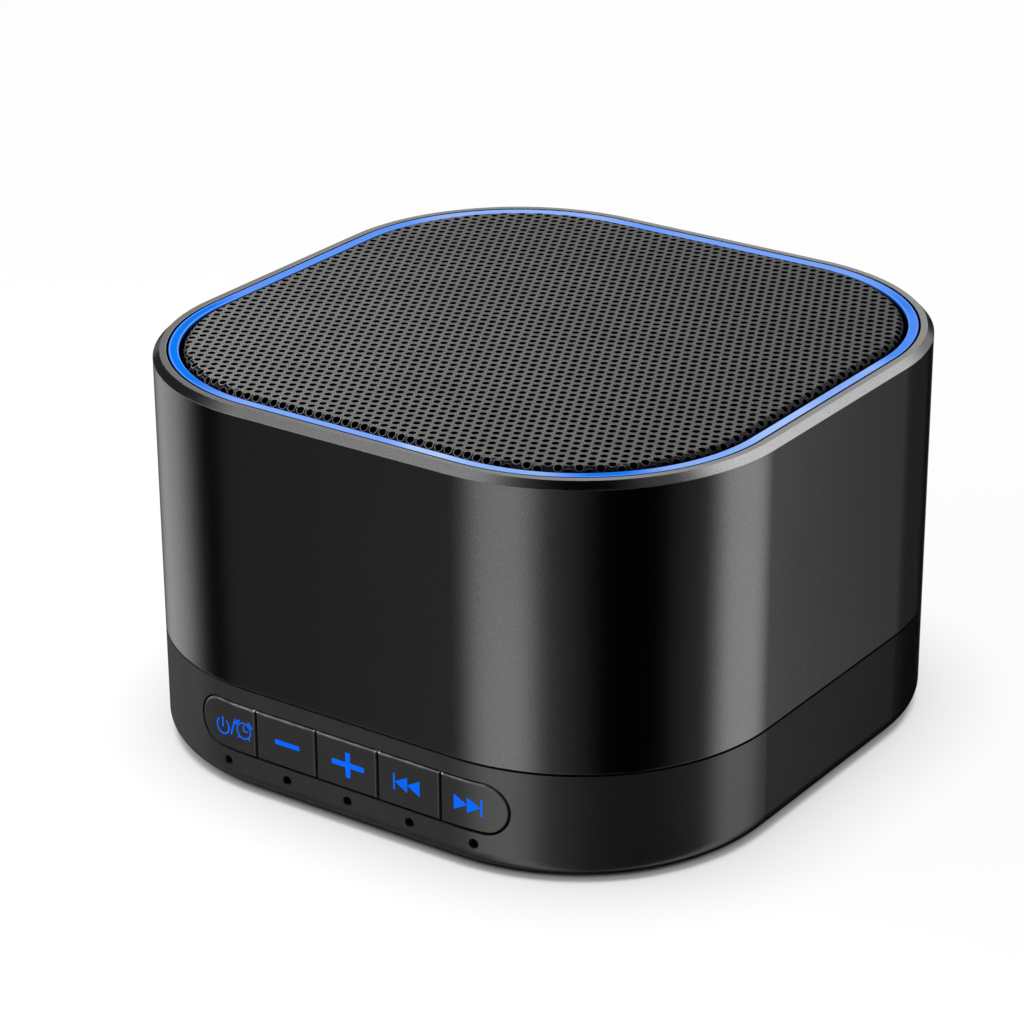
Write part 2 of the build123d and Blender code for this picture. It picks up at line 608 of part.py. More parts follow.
# ---------------------------------------------------------------- keys and key board
def key_cap(index):
    """A cap that follows the curve of the front wall, with a flange behind the wall and a stem."""
    centre = key_centres()[index]
    left = centre - KEY_PITCH / 2 + KEY_GAP / 2 if index else -HALF
    right = centre + KEY_PITCH / 2 - KEY_GAP / 2 if index < KEY_COUNT - 1 else HALF
    slice_x = block(right - left, BODY_WIDTH, BODY_HEIGHT, (left + right) / 2, -HALF, BASE_Z)
    outline = along_y(key_row(-KEY_GAP), -HALF - OVERCUT, -HALF / 2)
    front = prism(0, BASE_Z, RIM_Z) & outline & slice_x
    cap = fillet(face_outline(front), KEY_EDGE_R) - prism(FLANGE_INSET, BASE_Z, RIM_Z)
    flange = along_y(key_row(KEY_FLANGE), -HALF, -HALF / 2) & slice_x
    flange &= band(FLANGE_INSET, FLANGE_INSET + KEY_FLANGE, BASE_Z, RIM_Z)
    stem = rod_y(KEY_STEM_R, -HALF + BASE_WALL, STEM_END_Y, centre, KEY_Z)
    return (cap + flange + stem).solids()[0]


def face_outline(cap):
    """The edges round a cap's outer face, which may be a flat and a curved face side by side."""
    faces = [face for face in cap.faces() if all(on_side_wall(corner) for corner in face.vertices())]
    edges = [edge for face in faces for edge in face.edges()]
    return [edge for edge in edges if sum(edge.is_same(other) for other in edges) == 1]


def on_side_wall(point):
    return abs(outer_distance(point.X, point.Y)) < TOUCH


def outer_distance(x, y):
    """Distance outside the plan outline, negative inside."""
    over_x, over_y = abs(x) - CORNER_CENTRE, abs(y) - CORNER_CENTRE
    outside = sqrt(max(over_x, 0) ** 2 + max(over_y, 0) ** 2)
    return outside + min(max(over_x, over_y), 0) - CORNER_R


def key_plunger(index):
    x = key_centres()[index]
    return rod_y(PLUNGER_R, STEM_END_Y, SWITCH_FACE_Y + PLUNGER_SEAT, x, KEY_Z)


def key_switches():
    bore_end = SWITCH_FACE_Y + PLUNGER_SEAT + KEY_TRAVEL + 2 * PLUNGER_BORE_GAP
    y, low = KEY_BOARD_Y - SWITCH_THICK / 2, KEY_Z - SWITCH_SIZE / 2
    switches = []
    for x in key_centres():
        body = block(SWITCH_SIZE, SWITCH_THICK, SWITCH_SIZE, x, y, low)
        switches.append(body - rod_y(PLUNGER_R + PLUNGER_BORE_GAP, SWITCH_FACE_Y, bore_end, x, KEY_Z))
    return group(switches)


def key_board():
    low = FLOOR_Z + KEY_BOARD_LIFT
    height = BASE_Z + KEY_BOARD_TOP - low
    return block(2 * KEY_BOARD_HALF, KEY_BOARD_THICK, height, 0, KEY_BOARD_Y + KEY_BOARD_THICK / 2, low)


def indicator_lamps():
    width, depth, height = INDICATOR_LAMP
    y, low = KEY_BOARD_Y - depth / 2, INDICATOR_Z - height / 2
    return group(block(width, depth, height, x, y, low) for x in key_centres())


# ---------------------------------------------------------------- main board
def main_board():
    length = MAIN_BOARD_BACK - MAIN_BOARD_FRONT
    middle = (MAIN_BOARD_BACK + MAIN_BOARD_FRONT) / 2
    sheet = Pos(0, middle) * RectangleRounded(2 * MAIN_BOARD_HALF, length, MAIN_BOARD_CORNER)
    board = Pos(0, 0, MAIN_BOARD_Z) * extrude(sheet, amount=MAIN_BOARD_THICK)
    for x, y in STANDOFF_PLACES:
        board -= rod(SMALL_SCREW_R + SCREW_CLEARANCE, MAIN_BOARD_Z, MAIN_TOP_Z, x, y)
    return board


def board_screws():
    return group(
        screw(SMALL_SCREW_R, SMALL_SCREW_LENGTH, SMALL_HEAD_R, SMALL_HEAD_THICK, x, y, MAIN_TOP_Z, -1)
        for x, y in STANDOFF_PLACES
    )


def sound_chips():
    return group(block(w, d, h, x, y, MAIN_TOP_Z) for x, y, w, d, h in CHIPS)


def capacitors():
    return group(rod(r, MAIN_TOP_Z, MAIN_TOP_Z + h, x, y) for x, y, r, h in CAPACITORS)


def board_connectors():
    """Wire headers for the speaker and the light board, and a ribbon header on each board."""
    width, depth, height = HEADER
    ribbon_width = RIBBON_WIDTH + 2 * RIBBON_HEADER_MARGIN
    wall_y = KEY_BOARD_BACK_Y + RIBBON_HEADER_THICK / 2
    headers = [block(width, depth, height, *place, MAIN_TOP_Z) for place in (SPEAKER_HEADER, LIGHT_HEADER)]
    headers.append(block(ribbon_width, depth, RIBBON_HEADER_THICK, 0, RIBBON_HEADER_Y, MAIN_TOP_Z))
    headers.append(block(ribbon_width, RIBBON_HEADER_THICK, depth, 0, wall_y, KEY_Z))
    return group(headers)


def power_socket_shell():
    back = SOCKET_MOUTH_Y - SOCKET_LENGTH
    outer = along_y(socket_outline(0), back, SOCKET_MOUTH_Y)
    return outer - along_y(socket_outline(-SOCKET_SHEET), back + SOCKET_SHEET, SOCKET_MOUTH_Y)


def power_socket_tongue():
    back = SOCKET_MOUTH_Y - SOCKET_LENGTH + SOCKET_SHEET
    length = SOCKET_LENGTH - SOCKET_SHEET - TONGUE_SETBACK
    return block(TONGUE_WIDTH, length, TONGUE_THICK, 0, back + length / 2, SOCKET_Z - TONGUE_THICK / 2)


# ---------------------------------------------------------------- fasteners, feet and leads
def case_screws():
    under_head = BASE_Z + HEAD_SEAT
    return group(
        screw(CASE_SCREW_R, CASE_SCREW_LENGTH, CASE_HEAD_R, CASE_HEAD_THICK, x, y, under_head, 1)
        for x, y in SCREW_PLACES
    )


def foot(side_x, side_y):
    pad = rod(FOOT_R, 0, BASE_Z + FOOT_SEAT, side_x * SCREW_PLACE, side_y * SCREW_PLACE)
    return chamfer(lowest_edges(pad), FOOT_EDGE)


def light_lead_x():
    return HALF - (CHANNEL_IN + CHANNEL_OUT) / 2


def speaker_lead(side):
    """One of the two speaker wires, from its tag down to its header."""
    x, header_y = side * WIRE_PITCH / 2, SPEAKER_HEADER[1]
    tag_y = TERMINAL_END_Y - WIRE_R
    upper, lower = [MAGNET_TOP_Z - share * (MAGNET_TOP_Z - HEADER_TOP_Z) for share in SPEAKER_LEAD_TURNS]
    points = [(x, tag_y, MAGNET_TOP_Z), (x, tag_y, upper), (x, header_y, lower), (x, header_y, HEADER_TOP_Z)]
    return lead(points, WIRE_R, [WIRE_BEND_R, WIRE_BEND_R])


def light_lead():
    """The light board's cable, down the inside of the sleeve and across to its header."""
    top_x, (header_x, header_y) = light_lead_x(), LIGHT_HEADER
    turn = HEADER_TOP_Z + LIGHT_LEAD_TURN
    far, near = (top_x, 0, turn), (header_x, header_y, turn - LIGHT_LEAD_FALL)
    points = [(top_x, 0, CHANNEL_FLOOR_Z), far, near, (header_x, header_y, HEADER_TOP_Z)]
    return lead(points, WIRE_R, [WIRE_BEND_R, WIRE_BEND_R])


def key_ribbon():
    """Flat cable from the key board to the main board."""
    depth = HEADER[1]
    start_y, end_y = KEY_BOARD_BACK_Y + RIBBON_HEADER_THICK, RIBBON_HEADER_Y - depth / 2
    start_z, end_z = KEY_Z + depth / 2, MAIN_TOP_Z + RIBBON_HEADER_THICK / 2
    middle = (start_y + end_y) / 2
    points = [(0, start_y, start_z), (0, middle, start_z), (0, middle, end_z), (0, end_y, end_z)]
    path = FilletPolyline(*points, radius=RIBBON_BEND_R)
    start = Plane(origin=points[0], x_dir=(1, 0, 0), z_dir=(0, 1, 0))
    return sweep(start * Rectangle(RIBBON_WIDTH, RIBBON_THICK), path=path)


# ---------------------------------------------------------------- every node
KEY_NAMES = ["power_key", "minus_key", "plus_key", "previous_key", "next_key"]
FOOT_SIDES = {
    "foot_front_left": (-1, -1),
    "foot_front_right": (1, -1),
    "foot_back_left": (-1, 1),
    "foot_back_right": (1, 1),
}


def all_nodes():
    nodes = {
        "base_shell": base_shell(),
        "sleeve": sleeve(),
        "top_frame": top_frame(),
        "light_ring": light_ring(),
        "light_board": light_board(),
        "ring_lamps": ring_lamps(),
        "grille": grille(),
        "speaker_gasket": speaker_gasket(),
        "speaker_basket": speaker_basket(),
        "speaker_surround": speaker_surround(),
        "speaker_cone": speaker_cone(),
        "speaker_dust_cap": dust_cap(),
        "voice_coil": voice_coil(),
        "speaker_spider": speaker_spider(),
        "speaker_top_plate": speaker_top_plate(),
        "speaker_magnet": speaker_magnet(),
        "speaker_yoke": speaker_yoke(),
        "speaker_terminal": speaker_terminal(),
        "speaker_screws": speaker_screws(),
        "key_board": key_board(),
        "key_switches": key_switches(),
        "indicator_lamps": indicator_lamps(),
        "main_board": main_board(),
        "board_screws": board_screws(),
        "sound_chips": sound_chips(),
        "capacitors": capacitors(),
        "board_connectors": board_connectors(),
        "power_socket_shell": power_socket_shell(),
        "power_socket_tongue": power_socket_tongue(),
        "case_screws": case_screws(),
        "speaker_lead_red": speaker_lead(-1),
        "speaker_lead_black": speaker_lead(1),
        "light_lead": light_lead(),
        "key_ribbon": key_ribbon(),
    }
    for index, name in enumerate(KEY_NAMES):
        nodes[name] = key_cap(index)
        nodes[name + "_plunger"] = key_plunger(index)
    for name, (side_x, side_y) in FOOT_SIDES.items():
        nodes[name] = foot(side_x, side_y)
    return nodes


if __name__ == "__main__":
    os.makedirs("parts", exist_ok=True)
    for name, shape in all_nodes().items():
        export_step(shape, f"parts/{name}.step")
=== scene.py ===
"""White noise sound machine: finishes, formed metalwork, key symbols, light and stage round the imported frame.

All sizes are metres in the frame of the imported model: +Z is up, -Y is the front and the feet stand on Z = 0.
"Inset" is a distance in from the outer side wall.
"""

from math import cos, hypot, pi, radians, sin

import bmesh
import bpy
from bpy.props import FloatProperty, FloatVectorProperty, IntProperty, PointerProperty
from bpy.types import Operator, Panel, PropertyGroup
from mathutils import Matrix, Vector


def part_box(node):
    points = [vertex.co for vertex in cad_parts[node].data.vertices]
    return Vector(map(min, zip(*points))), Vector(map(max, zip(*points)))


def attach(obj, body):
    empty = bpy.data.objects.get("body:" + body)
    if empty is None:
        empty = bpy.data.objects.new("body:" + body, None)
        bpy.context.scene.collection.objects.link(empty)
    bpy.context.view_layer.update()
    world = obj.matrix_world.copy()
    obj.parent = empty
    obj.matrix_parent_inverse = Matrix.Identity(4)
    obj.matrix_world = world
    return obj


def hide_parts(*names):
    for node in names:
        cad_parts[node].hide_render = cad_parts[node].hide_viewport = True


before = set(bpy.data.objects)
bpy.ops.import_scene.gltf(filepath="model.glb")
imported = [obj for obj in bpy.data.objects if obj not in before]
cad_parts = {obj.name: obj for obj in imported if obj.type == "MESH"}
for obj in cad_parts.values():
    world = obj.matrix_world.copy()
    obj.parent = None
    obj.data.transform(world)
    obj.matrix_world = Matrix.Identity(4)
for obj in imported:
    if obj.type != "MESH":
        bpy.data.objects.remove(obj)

bl_info = {
    "name": "White Noise Sound Machine",
    "version": (1, 0, 0),
    "blender": (4, 5, 0),
    "location": "View3D > Sidebar > Sound Machine",
    "description": "Perforated grille, lit ring, metal sleeve, key symbols, finishes and stage",
    "category": "Object",
}

MM = 0.001

# ---------------------------------------------------------------- what the frame gives
SLEEVE_LOW, SLEEVE_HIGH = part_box("sleeve")
RING_LOW, RING_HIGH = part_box("light_ring")
GRILLE_LOW, GRILLE_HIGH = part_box("grille")
KEY_LOW, KEY_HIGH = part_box("plus_key")
HALF = SLEEVE_HIGH.x
KEY_MIDDLE_Z = (KEY_LOW.z + KEY_HIGH.z) / 2


# ---------------------------------------------------------------- sizes and colours that a user would change
class ShellSizes(PropertyGroup):
    """The metal sleeve and the light ring, both carried round the plan's outline."""

    corner_radius: FloatProperty(
        name="Corner radius", description="Plan radius of the four outer corners", default=31.7 * MM,
        unit="LENGTH",
    )
    corner_steps: IntProperty(
        name="Corner steps", description="Facets round each outer corner", default=40, min=8, max=96
    )
    wall: FloatProperty(
        name="Sleeve wall", description="Thickness of the sleeve's side wall", default=2.8 * MM, unit="LENGTH"
    )
    skirt_wall: FloatProperty(
        name="Skirt wall", description="Sleeve wall round the base's spigot", default=1.6 * MM, unit="LENGTH"
    )
    skirt_height: FloatProperty(
        name="Skirt height", description="Height of the thin skirt", default=3.7 * MM, unit="LENGTH"
    )
    rim_wall: FloatProperty(
        name="Rim wall", description="Sleeve wall above its inner ledge", default=2.0 * MM, unit="LENGTH"
    )
    ledge_depth: FloatProperty(
        name="Ledge depth", description="Inner ledge below the rim", default=4.4 * MM, unit="LENGTH"
    )
    rim_chamfer: FloatProperty(
        name="Rim chamfer", description="Bevel round the sleeve's top edge", default=1.0 * MM, unit="LENGTH"
    )
    foot_chamfer: FloatProperty(
        name="Foot chamfer", description="Bevel round the sleeve's lower edge", default=0.12 * MM,
        unit="LENGTH",
    )
    edge_softness: FloatProperty(
        name="Edge softness", description="Rounding left on machined edges", default=0.07 * MM, unit="LENGTH"
    )
    ring_width: FloatProperty(
        name="Ring width", description="Visible width of the light ring", default=1.6 * MM, unit="LENGTH"
    )
    ring_edge: FloatProperty(
        name="Ring edge", description="Bevel on the light ring's top edges", default=0.15 * MM, unit="LENGTH"
    )


class GrilleSizes(PropertyGroup):
    """The perforated sheet over the speaker."""

    hole_radius: FloatProperty(
        name="Hole radius", description="Radius of each perforation", default=0.585 * MM, unit="LENGTH"
    )
    hole_sides: IntProperty(
        name="Hole sides", description="Facets round each perforation", default=12, min=6, max=24
    )
    pitch: FloatProperty(
        name="Hole pitch", description="Distance between holes in a row", default=1.578 * MM, unit="LENGTH"
    )
    row_pitch: FloatProperty(
        name="Row pitch", description="Distance between rows", default=1.578 * MM, unit="LENGTH"
    )
    row_offset: FloatProperty(
        name="Row offset", description="From the sheet's middle back to a row of holes", default=0.54 * MM,
        unit="LENGTH",
    )
    column_offset: FloatProperty(
        name="Column offset", description="From the sheet's middle right to a hole of that row",
        default=0.075 * MM, unit="LENGTH",
    )
    sheet: FloatProperty(
        name="Sheet", description="Thickness of the sheet metal", default=0.6 * MM, unit="LENGTH"
    )
    bend_radius: FloatProperty(
        name="Bend radius", description="Outer radius of the rolled edge", default=1.0 * MM, unit="LENGTH"
    )
    plain_edge: FloatProperty(
        name="Plain edge", description="Metal left between the last holes and the skirt's end",
        default=0.35 * MM, unit="LENGTH",
    )


class SymbolSizes(PropertyGroup):
    """The printed symbols on the keys."""

    stroke: FloatProperty(
        name="Fine stroke", description="Line width of the power symbol and the slash beside it",
        default=0.25 * MM, unit="LENGTH",
    )
    heavy_stroke: FloatProperty(
        name="Heavy stroke", description="Line width of minus and plus", default=0.75 * MM, unit="LENGTH"
    )
    ring_radius: FloatProperty(
        name="Ring radius", description="Radius of the power and clock rings", default=1.24 * MM,
        unit="LENGTH",
    )
    sign_width: FloatProperty(
        name="Sign width", description="Width of the minus sign", default=4.4 * MM, unit="LENGTH"
    )
    arrow_length: FloatProperty(
        name="Arrow length", description="Length of one arrow head", default=2.15 * MM, unit="LENGTH"
    )
    arrow_half: FloatProperty(
        name="Arrow half height", description="Half height of an arrow head", default=1.2 * MM, unit="LENGTH"
    )
    thickness: FloatProperty(
        name="Ink thickness", description="How far the print stands on the key", default=0.025 * MM,
        unit="LENGTH",
    )


class LightColours(PropertyGroup):
    """The lit ring and the painted glow of the symbols."""

    ring_deep: FloatVectorProperty(
        name="Ring, deep", description="Ring colour at the corners", default=(0.004, 0.195, 0.92),
        subtype="COLOR", min=0.0, max=1.0,
    )
    # ring_pale shows on the ring's paler stretches and in its painted edge highlights.
    ring_pale: FloatVectorProperty(
        name="Ring, pale", description="Ring colour over the lamps", default=(0.4, 0.57, 0.97),
        subtype="COLOR", min=0.0, max=1.0,
    )
    # The ring's paler edges are a painted highlight.
    ring_edge_pale: FloatProperty(
        name="Ring edges", description="How far the ring's edges go to the pale colour", default=0.35,
        min=0.0, max=1.0, subtype="FACTOR",
    )
    symbol: FloatVectorProperty(
        name="Symbols", description="Colour of the key symbols", default=(0.003, 0.14, 0.95),
        subtype="COLOR", min=0.0, max=1.0,
    )


class FinishColours(PropertyGroup):
    """The main outer colours."""

    sleeve: FloatVectorProperty(
        name="Sleeve", description="Anodised metal", default=(0.185, 0.185, 0.185),
        subtype="COLOR", min=0.0, max=1.0,
    )
    base: FloatVectorProperty(
        name="Base", description="Satin metallic paint on the moulded base", default=(0.108, 0.108, 0.109),
        subtype="COLOR", min=0.0, max=1.0,
    )
    keys: FloatVectorProperty(
        name="Keys", description="Satin metallic paint on the key caps", default=(0.1, 0.1, 0.101),
        subtype="COLOR", min=0.0, max=1.0,
    )
    grille: FloatVectorProperty(
        name="Grille", description="Powder coat on the grille", default=(0.094, 0.093, 0.092),
        subtype="COLOR", min=0.0, max=1.0,
    )


class StageSettings(PropertyGroup):
    """Camera, floor, lamp and surrounding light."""

    view_azimuth: FloatProperty(
        name="View azimuth", description="Camera's place round the object, from the front toward +X",
        default=radians(35.194), subtype="ANGLE",
    )
    view_elevation: FloatProperty(
        name="View elevation", description="Camera's angle above the floor", default=radians(23.746),
        subtype="ANGLE",
    )
    view_roll: FloatProperty(
        name="View roll", description="Turn of the camera about its line of sight",
        default=radians(-0.329), subtype="ANGLE",
    )
    view_distance: FloatProperty(
        name="View distance", description="From the object's middle to the camera", default=516.187 * MM,
        unit="LENGTH",
    )
    aim_height: FloatProperty(
        name="Aim height", description="Height of the middle that the camera is set round",
        default=30.045 * MM, unit="LENGTH",
    )
    aim_right: FloatProperty(
        name="Aim right", description="Sideways offset of the line of sight", default=-5.186 * MM,
        unit="LENGTH",
    )
    aim_up: FloatProperty(
        name="Aim up", description="Upward offset of the line of sight", default=0.978 * MM, unit="LENGTH"
    )
    lens: FloatProperty(
        name="Lens", description="Focal length in millimetres", default=120.93, subtype="DISTANCE_CAMERA"
    )
    lamp_power: FloatProperty(
        name="Lamp power", description="Power of the soft box above the front left", default=0.72,
        unit="POWER",
    )
    lamp_size: FloatProperty(
        name="Lamp size", description="Side of the soft box above the front left", default=0.1, unit="LENGTH"
    )
    lamp_height: FloatProperty(
        name="Lamp height", description="Height of the soft box above the floor", default=0.16, unit="LENGTH"
    )
    lamp_left: FloatProperty(
        name="Lamp left", description="How far left of the middle the soft box stands", default=0.12,
        unit="LENGTH",
    )
    lamp_front: FloatProperty(
        name="Lamp front", description="How far in front of the middle the soft box stands", default=0.12,
        unit="LENGTH",
    )
    ambient: FloatProperty(
        name="Ambient", description="Level of the surrounding light on matt surfaces", default=0.15,
        min=0.0, max=1.0, subtype="FACTOR",
    )
    floor_size: FloatProperty(
        name="Floor size", description="Width of the floor", default=6.0, unit="LENGTH"
    )
    floor_drop: FloatProperty(
        name="Floor drop", description="How far the floor lies below the feet, so that they share no plane",
        default=0.05 * MM, unit="LENGTH",
    )
    floor_glow: FloatProperty(
        name="Floor glow", description="White that the floor shows where nothing stands over it",
        default=0.97, min=0.0, max=1.0, subtype="FACTOR",
    )
    shade_reach: FloatProperty(
        name="Shade reach", description="How far the object's contact shade reaches", default=18 * MM,
        unit="LENGTH",
    )
    floor_white: FloatProperty(
        name="Floor white", description="Share of the lamp's light that the floor shows", default=0.05,
        min=0.0, max=1.0, subtype="FACTOR",
    )
    tent_radius: FloatProperty(
        name="Tent radius", description="Distance of the soft boxes that glossy surfaces show",
        default=2.0, unit="LENGTH",
    )


def settings(name):
    return getattr(bpy.context.scene, "sound_machine_" + name)


# ---------------------------------------------------------------- node trees
class Recipe:
    """Adds nodes to a tree and joins them, so that a finish or a form reads like a formula."""

    def __init__(self, tree):
        self.tree = tree

    def feed(self, socket, value):
        """Sets a socket, or joins another node's output to it."""
        if isinstance(value, bpy.types.NodeSocket):
            self.tree.links.new(value, socket)
        else:
            socket.default_value = value

    def add(self, kind, sockets=None, **options):
        """Makes one node. Sockets are keyed by name or number, and a value may be another node's output."""
        node = self.tree.nodes.new(kind)
        for name, value in options.items():
            setattr(node, name, value)
        for key, value in (sockets or {}).items():
            self.feed(node.inputs[key], value)
        return node

    def first(self, kind, sockets=None, **options):
        """Makes one node and gives its first output."""
        return self.add(kind, sockets, **options).outputs[0]

    def math(self, operation, *values):
        return self.first("ShaderNodeMath", dict(enumerate(values)), operation=operation)

    def plus(self, first, second):
        return self.math("ADD", first, second)

    def minus(self, first, second):
        return self.math("SUBTRACT", first, second)

    def times(self, first, second):
        return self.math("MULTIPLY", first, second)

    def over(self, first, second):
        return self.math("DIVIDE", first, second)

    def clamp(self, value, low, high):
        return self.first("ShaderNodeClamp", {0: value, 1: low, 2: high})

    def smooth(self, value, low, high, at_low=0.0, at_high=1.0):
        """A soft step from one value to another between two limits."""
        sockets = {0: value, 1: low, 2: high, 3: at_low, 4: at_high}
        return self.first("ShaderNodeMapRange", sockets, interpolation_type="SMOOTHSTEP")

    def vector(self, operation, *values):
        return self.first("ShaderNodeVectorMath", dict(enumerate(values)), operation=operation)

    def scaled(self, vector, factor):
        return self.first("ShaderNodeVectorMath", {0: vector, 3: factor}, operation="SCALE")

    def number(self, operation, *vectors):
        """A vector sum whose answer is a number, such as a length."""
        node = self.add("ShaderNodeVectorMath", dict(enumerate(vectors)), operation=operation)
        return node.outputs["Value"]

    def split(self, vector):
        return self.add("ShaderNodeSeparateXYZ", {0: vector}).outputs

    def joined(self, x, y, z):
        return self.first("ShaderNodeCombineXYZ", {0: x, 1: y, 2: z})

    def object_place(self):
        return self.add("ShaderNodeTexCoord").outputs["Object"]

    def upward(self):
        """How far the surface faces up, from -1 to 1."""
        return self.split(self.add("ShaderNodeNewGeometry").outputs["Normal"])[2]

    def noise(self, place, scale, detail, roughness=0.5):
        sockets = {"Vector": place, "Scale": scale, "Detail": detail, "Roughness": roughness}
        return self.first("ShaderNodeTexNoise", sockets)

    def mix(self, factor, first, second):
        return self.add("ShaderNodeMix", {0: factor, 6: first, 7: second}, data_type="RGBA").outputs[2]

    def mix_shader(self, factor, first, second):
        return self.first("ShaderNodeMixShader", {0: factor, 1: first, 2: second})

    def bump(self, height, distance, **normal):
        return self.first("ShaderNodeBump", {"Height": height, "Distance": distance, **normal})

    def together(self, *parts):
        """Several geometries as one."""
        node = self.add("GeometryNodeJoinGeometry")
        for part in parts:
            self.feed(node.inputs[0], part)
        return node.outputs[0]

    def rounded(self, curve, radius, steps):
        """A curve with its corners made arcs of this many short steps."""
        sockets = {"Curve": curve, "Radius": radius, "Count": steps, "Limit Radius": True}
        return self.first("GeometryNodeFilletCurve", sockets, mode="POLY")

    def rounded_square(self, side, radius, steps):
        square = self.first("GeometryNodeCurvePrimitiveQuadrilateral", {"Width": side, "Height": side})
        return self.rounded(square, radius, steps)

    def group(self, tree, **sockets):
        """Places a shader group. Its sockets are given in lower case, with _ for a space."""
        node = self.add("ShaderNodeGroup", node_tree=tree)
        for name, value in sockets.items():
            self.feed(node.inputs[name.replace("_", " ").capitalize()], value)
        return node.outputs


def empty_recipe(owner):
    """The recipe of a material's or the world's own tree, once its first nodes are gone."""
    owner.use_nodes = True
    owner.node_tree.nodes.clear()
    return Recipe(owner.node_tree)


def node_group(name, kind, inputs, outputs):
    """A tree with named sockets: the tree, its recipe, and the sockets of its input and output nodes."""
    tree = bpy.data.node_groups.new(name, kind)
    for direction, sockets in (("INPUT", inputs), ("OUTPUT", outputs)):
        for label, socket_type in sockets.items():
            tree.interface.new_socket(label, in_out=direction, socket_type="NodeSocket" + socket_type)
    recipe = Recipe(tree)
    return tree, recipe, recipe.add("NodeGroupInput").outputs, recipe.add("NodeGroupOutput").inputs


def run_tree(piece, tree, values):
    """Runs a geometry tree on a piece with values for its named inputs, and keeps the result as its mesh."""
    modifier = piece.modifiers.new(tree.name, "NODES")
    modifier.node_group = tree
    for item in tree.interface.items_tree:
        if item.name in values:
            modifier[item.identifier] = values[item.name]
    start = piece.data
    piece.data = evaluated_mesh(piece)
    piece.modifiers.remove(modifier)
    bpy.data.meshes.remove(start)
    piece.data.name = piece.name
    return piece


def evaluated_mesh(piece):
    """A plain mesh of the piece as its modifiers make it."""
    depsgraph = bpy.context.evaluated_depsgraph_get()
    return bpy.data.meshes.new_from_object(piece.evaluated_get(depsgraph), depsgraph=depsgraph)


# ---------------------------------------------------------------- shader groups that many finishes share
def surface_grain():
    """Fine grain with a slow drift of tone and gloss, as on moulded, coated or anodised surfaces."""
    tree, recipe, given, out = node_group(
        "surface_grain", "ShaderNodeTree",
        {"Vector": "Vector", "Grain": "Float", "Drift": "Float", "Colour": "Color", "Tint": "Color",
         "Roughness": "Float", "Spread": "Float"},
        {"Colour": "Color", "Roughness": "Float", "Height": "Float"},
    )
    fine = recipe.noise(given["Vector"], recipe.over(1.0, given["Grain"]), 3.0, roughness=0.6)
    slow = recipe.noise(given["Vector"], recipe.over(1.0, given["Drift"]), 4.0)
    both = recipe.times(recipe.plus(fine, slow), 0.5)
    tone = recipe.smooth(both, 0.4, 0.6)
    change = recipe.times(recipe.minus(both, 0.5), given["Spread"])
    recipe.feed(out["Colour"], recipe.mix(tone, given["Colour"], given["Tint"]))
    recipe.feed(out["Roughness"], recipe.plus(given["Roughness"], change))
    recipe.feed(out["Height"], fine)
    return tree


def edge_wear():
    """A mask along hard edges, or only their upward side, broken up by noise, where a finish is paler: rubbing
    on some finishes, a painted highlight on others.
    """
    tree, recipe, given, out = node_group(
        "edge_wear", "ShaderNodeTree",
        {"Vector": "Vector", "Width": "Float", "Amount": "Float", "Upward": "Float"},
        {"Mask": "Float"},
    )
    rounded = recipe.first("ShaderNodeBevel", {"Radius": given["Width"]}, samples=6)
    flat = recipe.add("ShaderNodeNewGeometry").outputs["Normal"]
    edge = recipe.smooth(recipe.minus(1.0, recipe.number("DOT_PRODUCT", rounded, flat)), 0.005, 0.15)
    patches_per_metre = 400.0
    patch = recipe.noise(given["Vector"], patches_per_metre, 3.0)
    broken = recipe.times(edge, recipe.smooth(patch, 0.3, 0.6, 0.35, 1.0))
    # Upward keeps only the edges' upward side: a painted highlight where light falls on them.
    above = recipe.smooth(recipe.split(rounded)[2], 0.15, 0.4)
    kept = recipe.minus(1.0, recipe.times(given["Upward"], recipe.minus(1.0, above)))
    recipe.feed(out["Mask"], recipe.times(recipe.times(broken, kept), given["Amount"]))
    return tree


def settled_dust():
    """A mask of fine dust that lies on upward faces."""
    tree, recipe, given, out = node_group(
        "settled_dust", "ShaderNodeTree",
        {"Vector": "Vector", "Amount": "Float"},
        {"Mask": "Float"},
    )
    specks_per_metre = 900.0
    specks = recipe.smooth(recipe.noise(given["Vector"], specks_per_metre, 5.0), 0.45, 0.75)
    lying = recipe.times(recipe.smooth(recipe.upward(), 0.55, 1.0), specks)
    recipe.feed(out["Mask"], recipe.times(lying, given["Amount"]))
    return tree


def shared(maker):
    """A shader group by its maker, made at its first use."""
    return bpy.data.node_groups.get(maker.__name__) or maker()


# ---------------------------------------------------------------- patterns that some finishes add
def bands(direction, pitch, distortion=0.0):
    """Parallel ridges one pitch apart."""
    wave_rate = 20  # radians that a wave texture of scale 1 turns through in one unit of length
    wave_scale = 2 * pi / (wave_rate * pitch)

    def pattern(recipe, place):
        sockets = {"Vector": place, "Scale": wave_scale, "Distortion": distortion}
        wave = recipe.add("ShaderNodeTexWave", sockets, wave_type="BANDS", bands_direction=direction)
        return wave.outputs["Fac"]

    return pattern


def weave(pitch):
    """Threads that run both ways."""

    def pattern(recipe, place):
        warp, weft = [bands(direction, pitch)(recipe, place) for direction in "XY"]
        return recipe.math("MAXIMUM", warp, weft)

    return pattern


def cells(size):
    """Pores, grains or flakes of one size."""

    def pattern(recipe, place):
        return recipe.add("ShaderNodeTexVoronoi", {"Vector": place, "Scale": 1 / size}).outputs["Distance"]

    return pattern


def fibres(size):
    """Pulp fibres that run out from the middle of a cone."""
    round_count, stretch = 60.0, 0.3

    def pattern(recipe, place):
        x, y, _ = recipe.split(place)
        turn = recipe.times(recipe.math("ARCTAN2", y, x), round_count)
        reach = recipe.times(recipe.number("LENGTH", place), stretch / size)
        return recipe.noise(recipe.joined(turn, reach, 0.0), 1.0, 5.0)

    return pattern


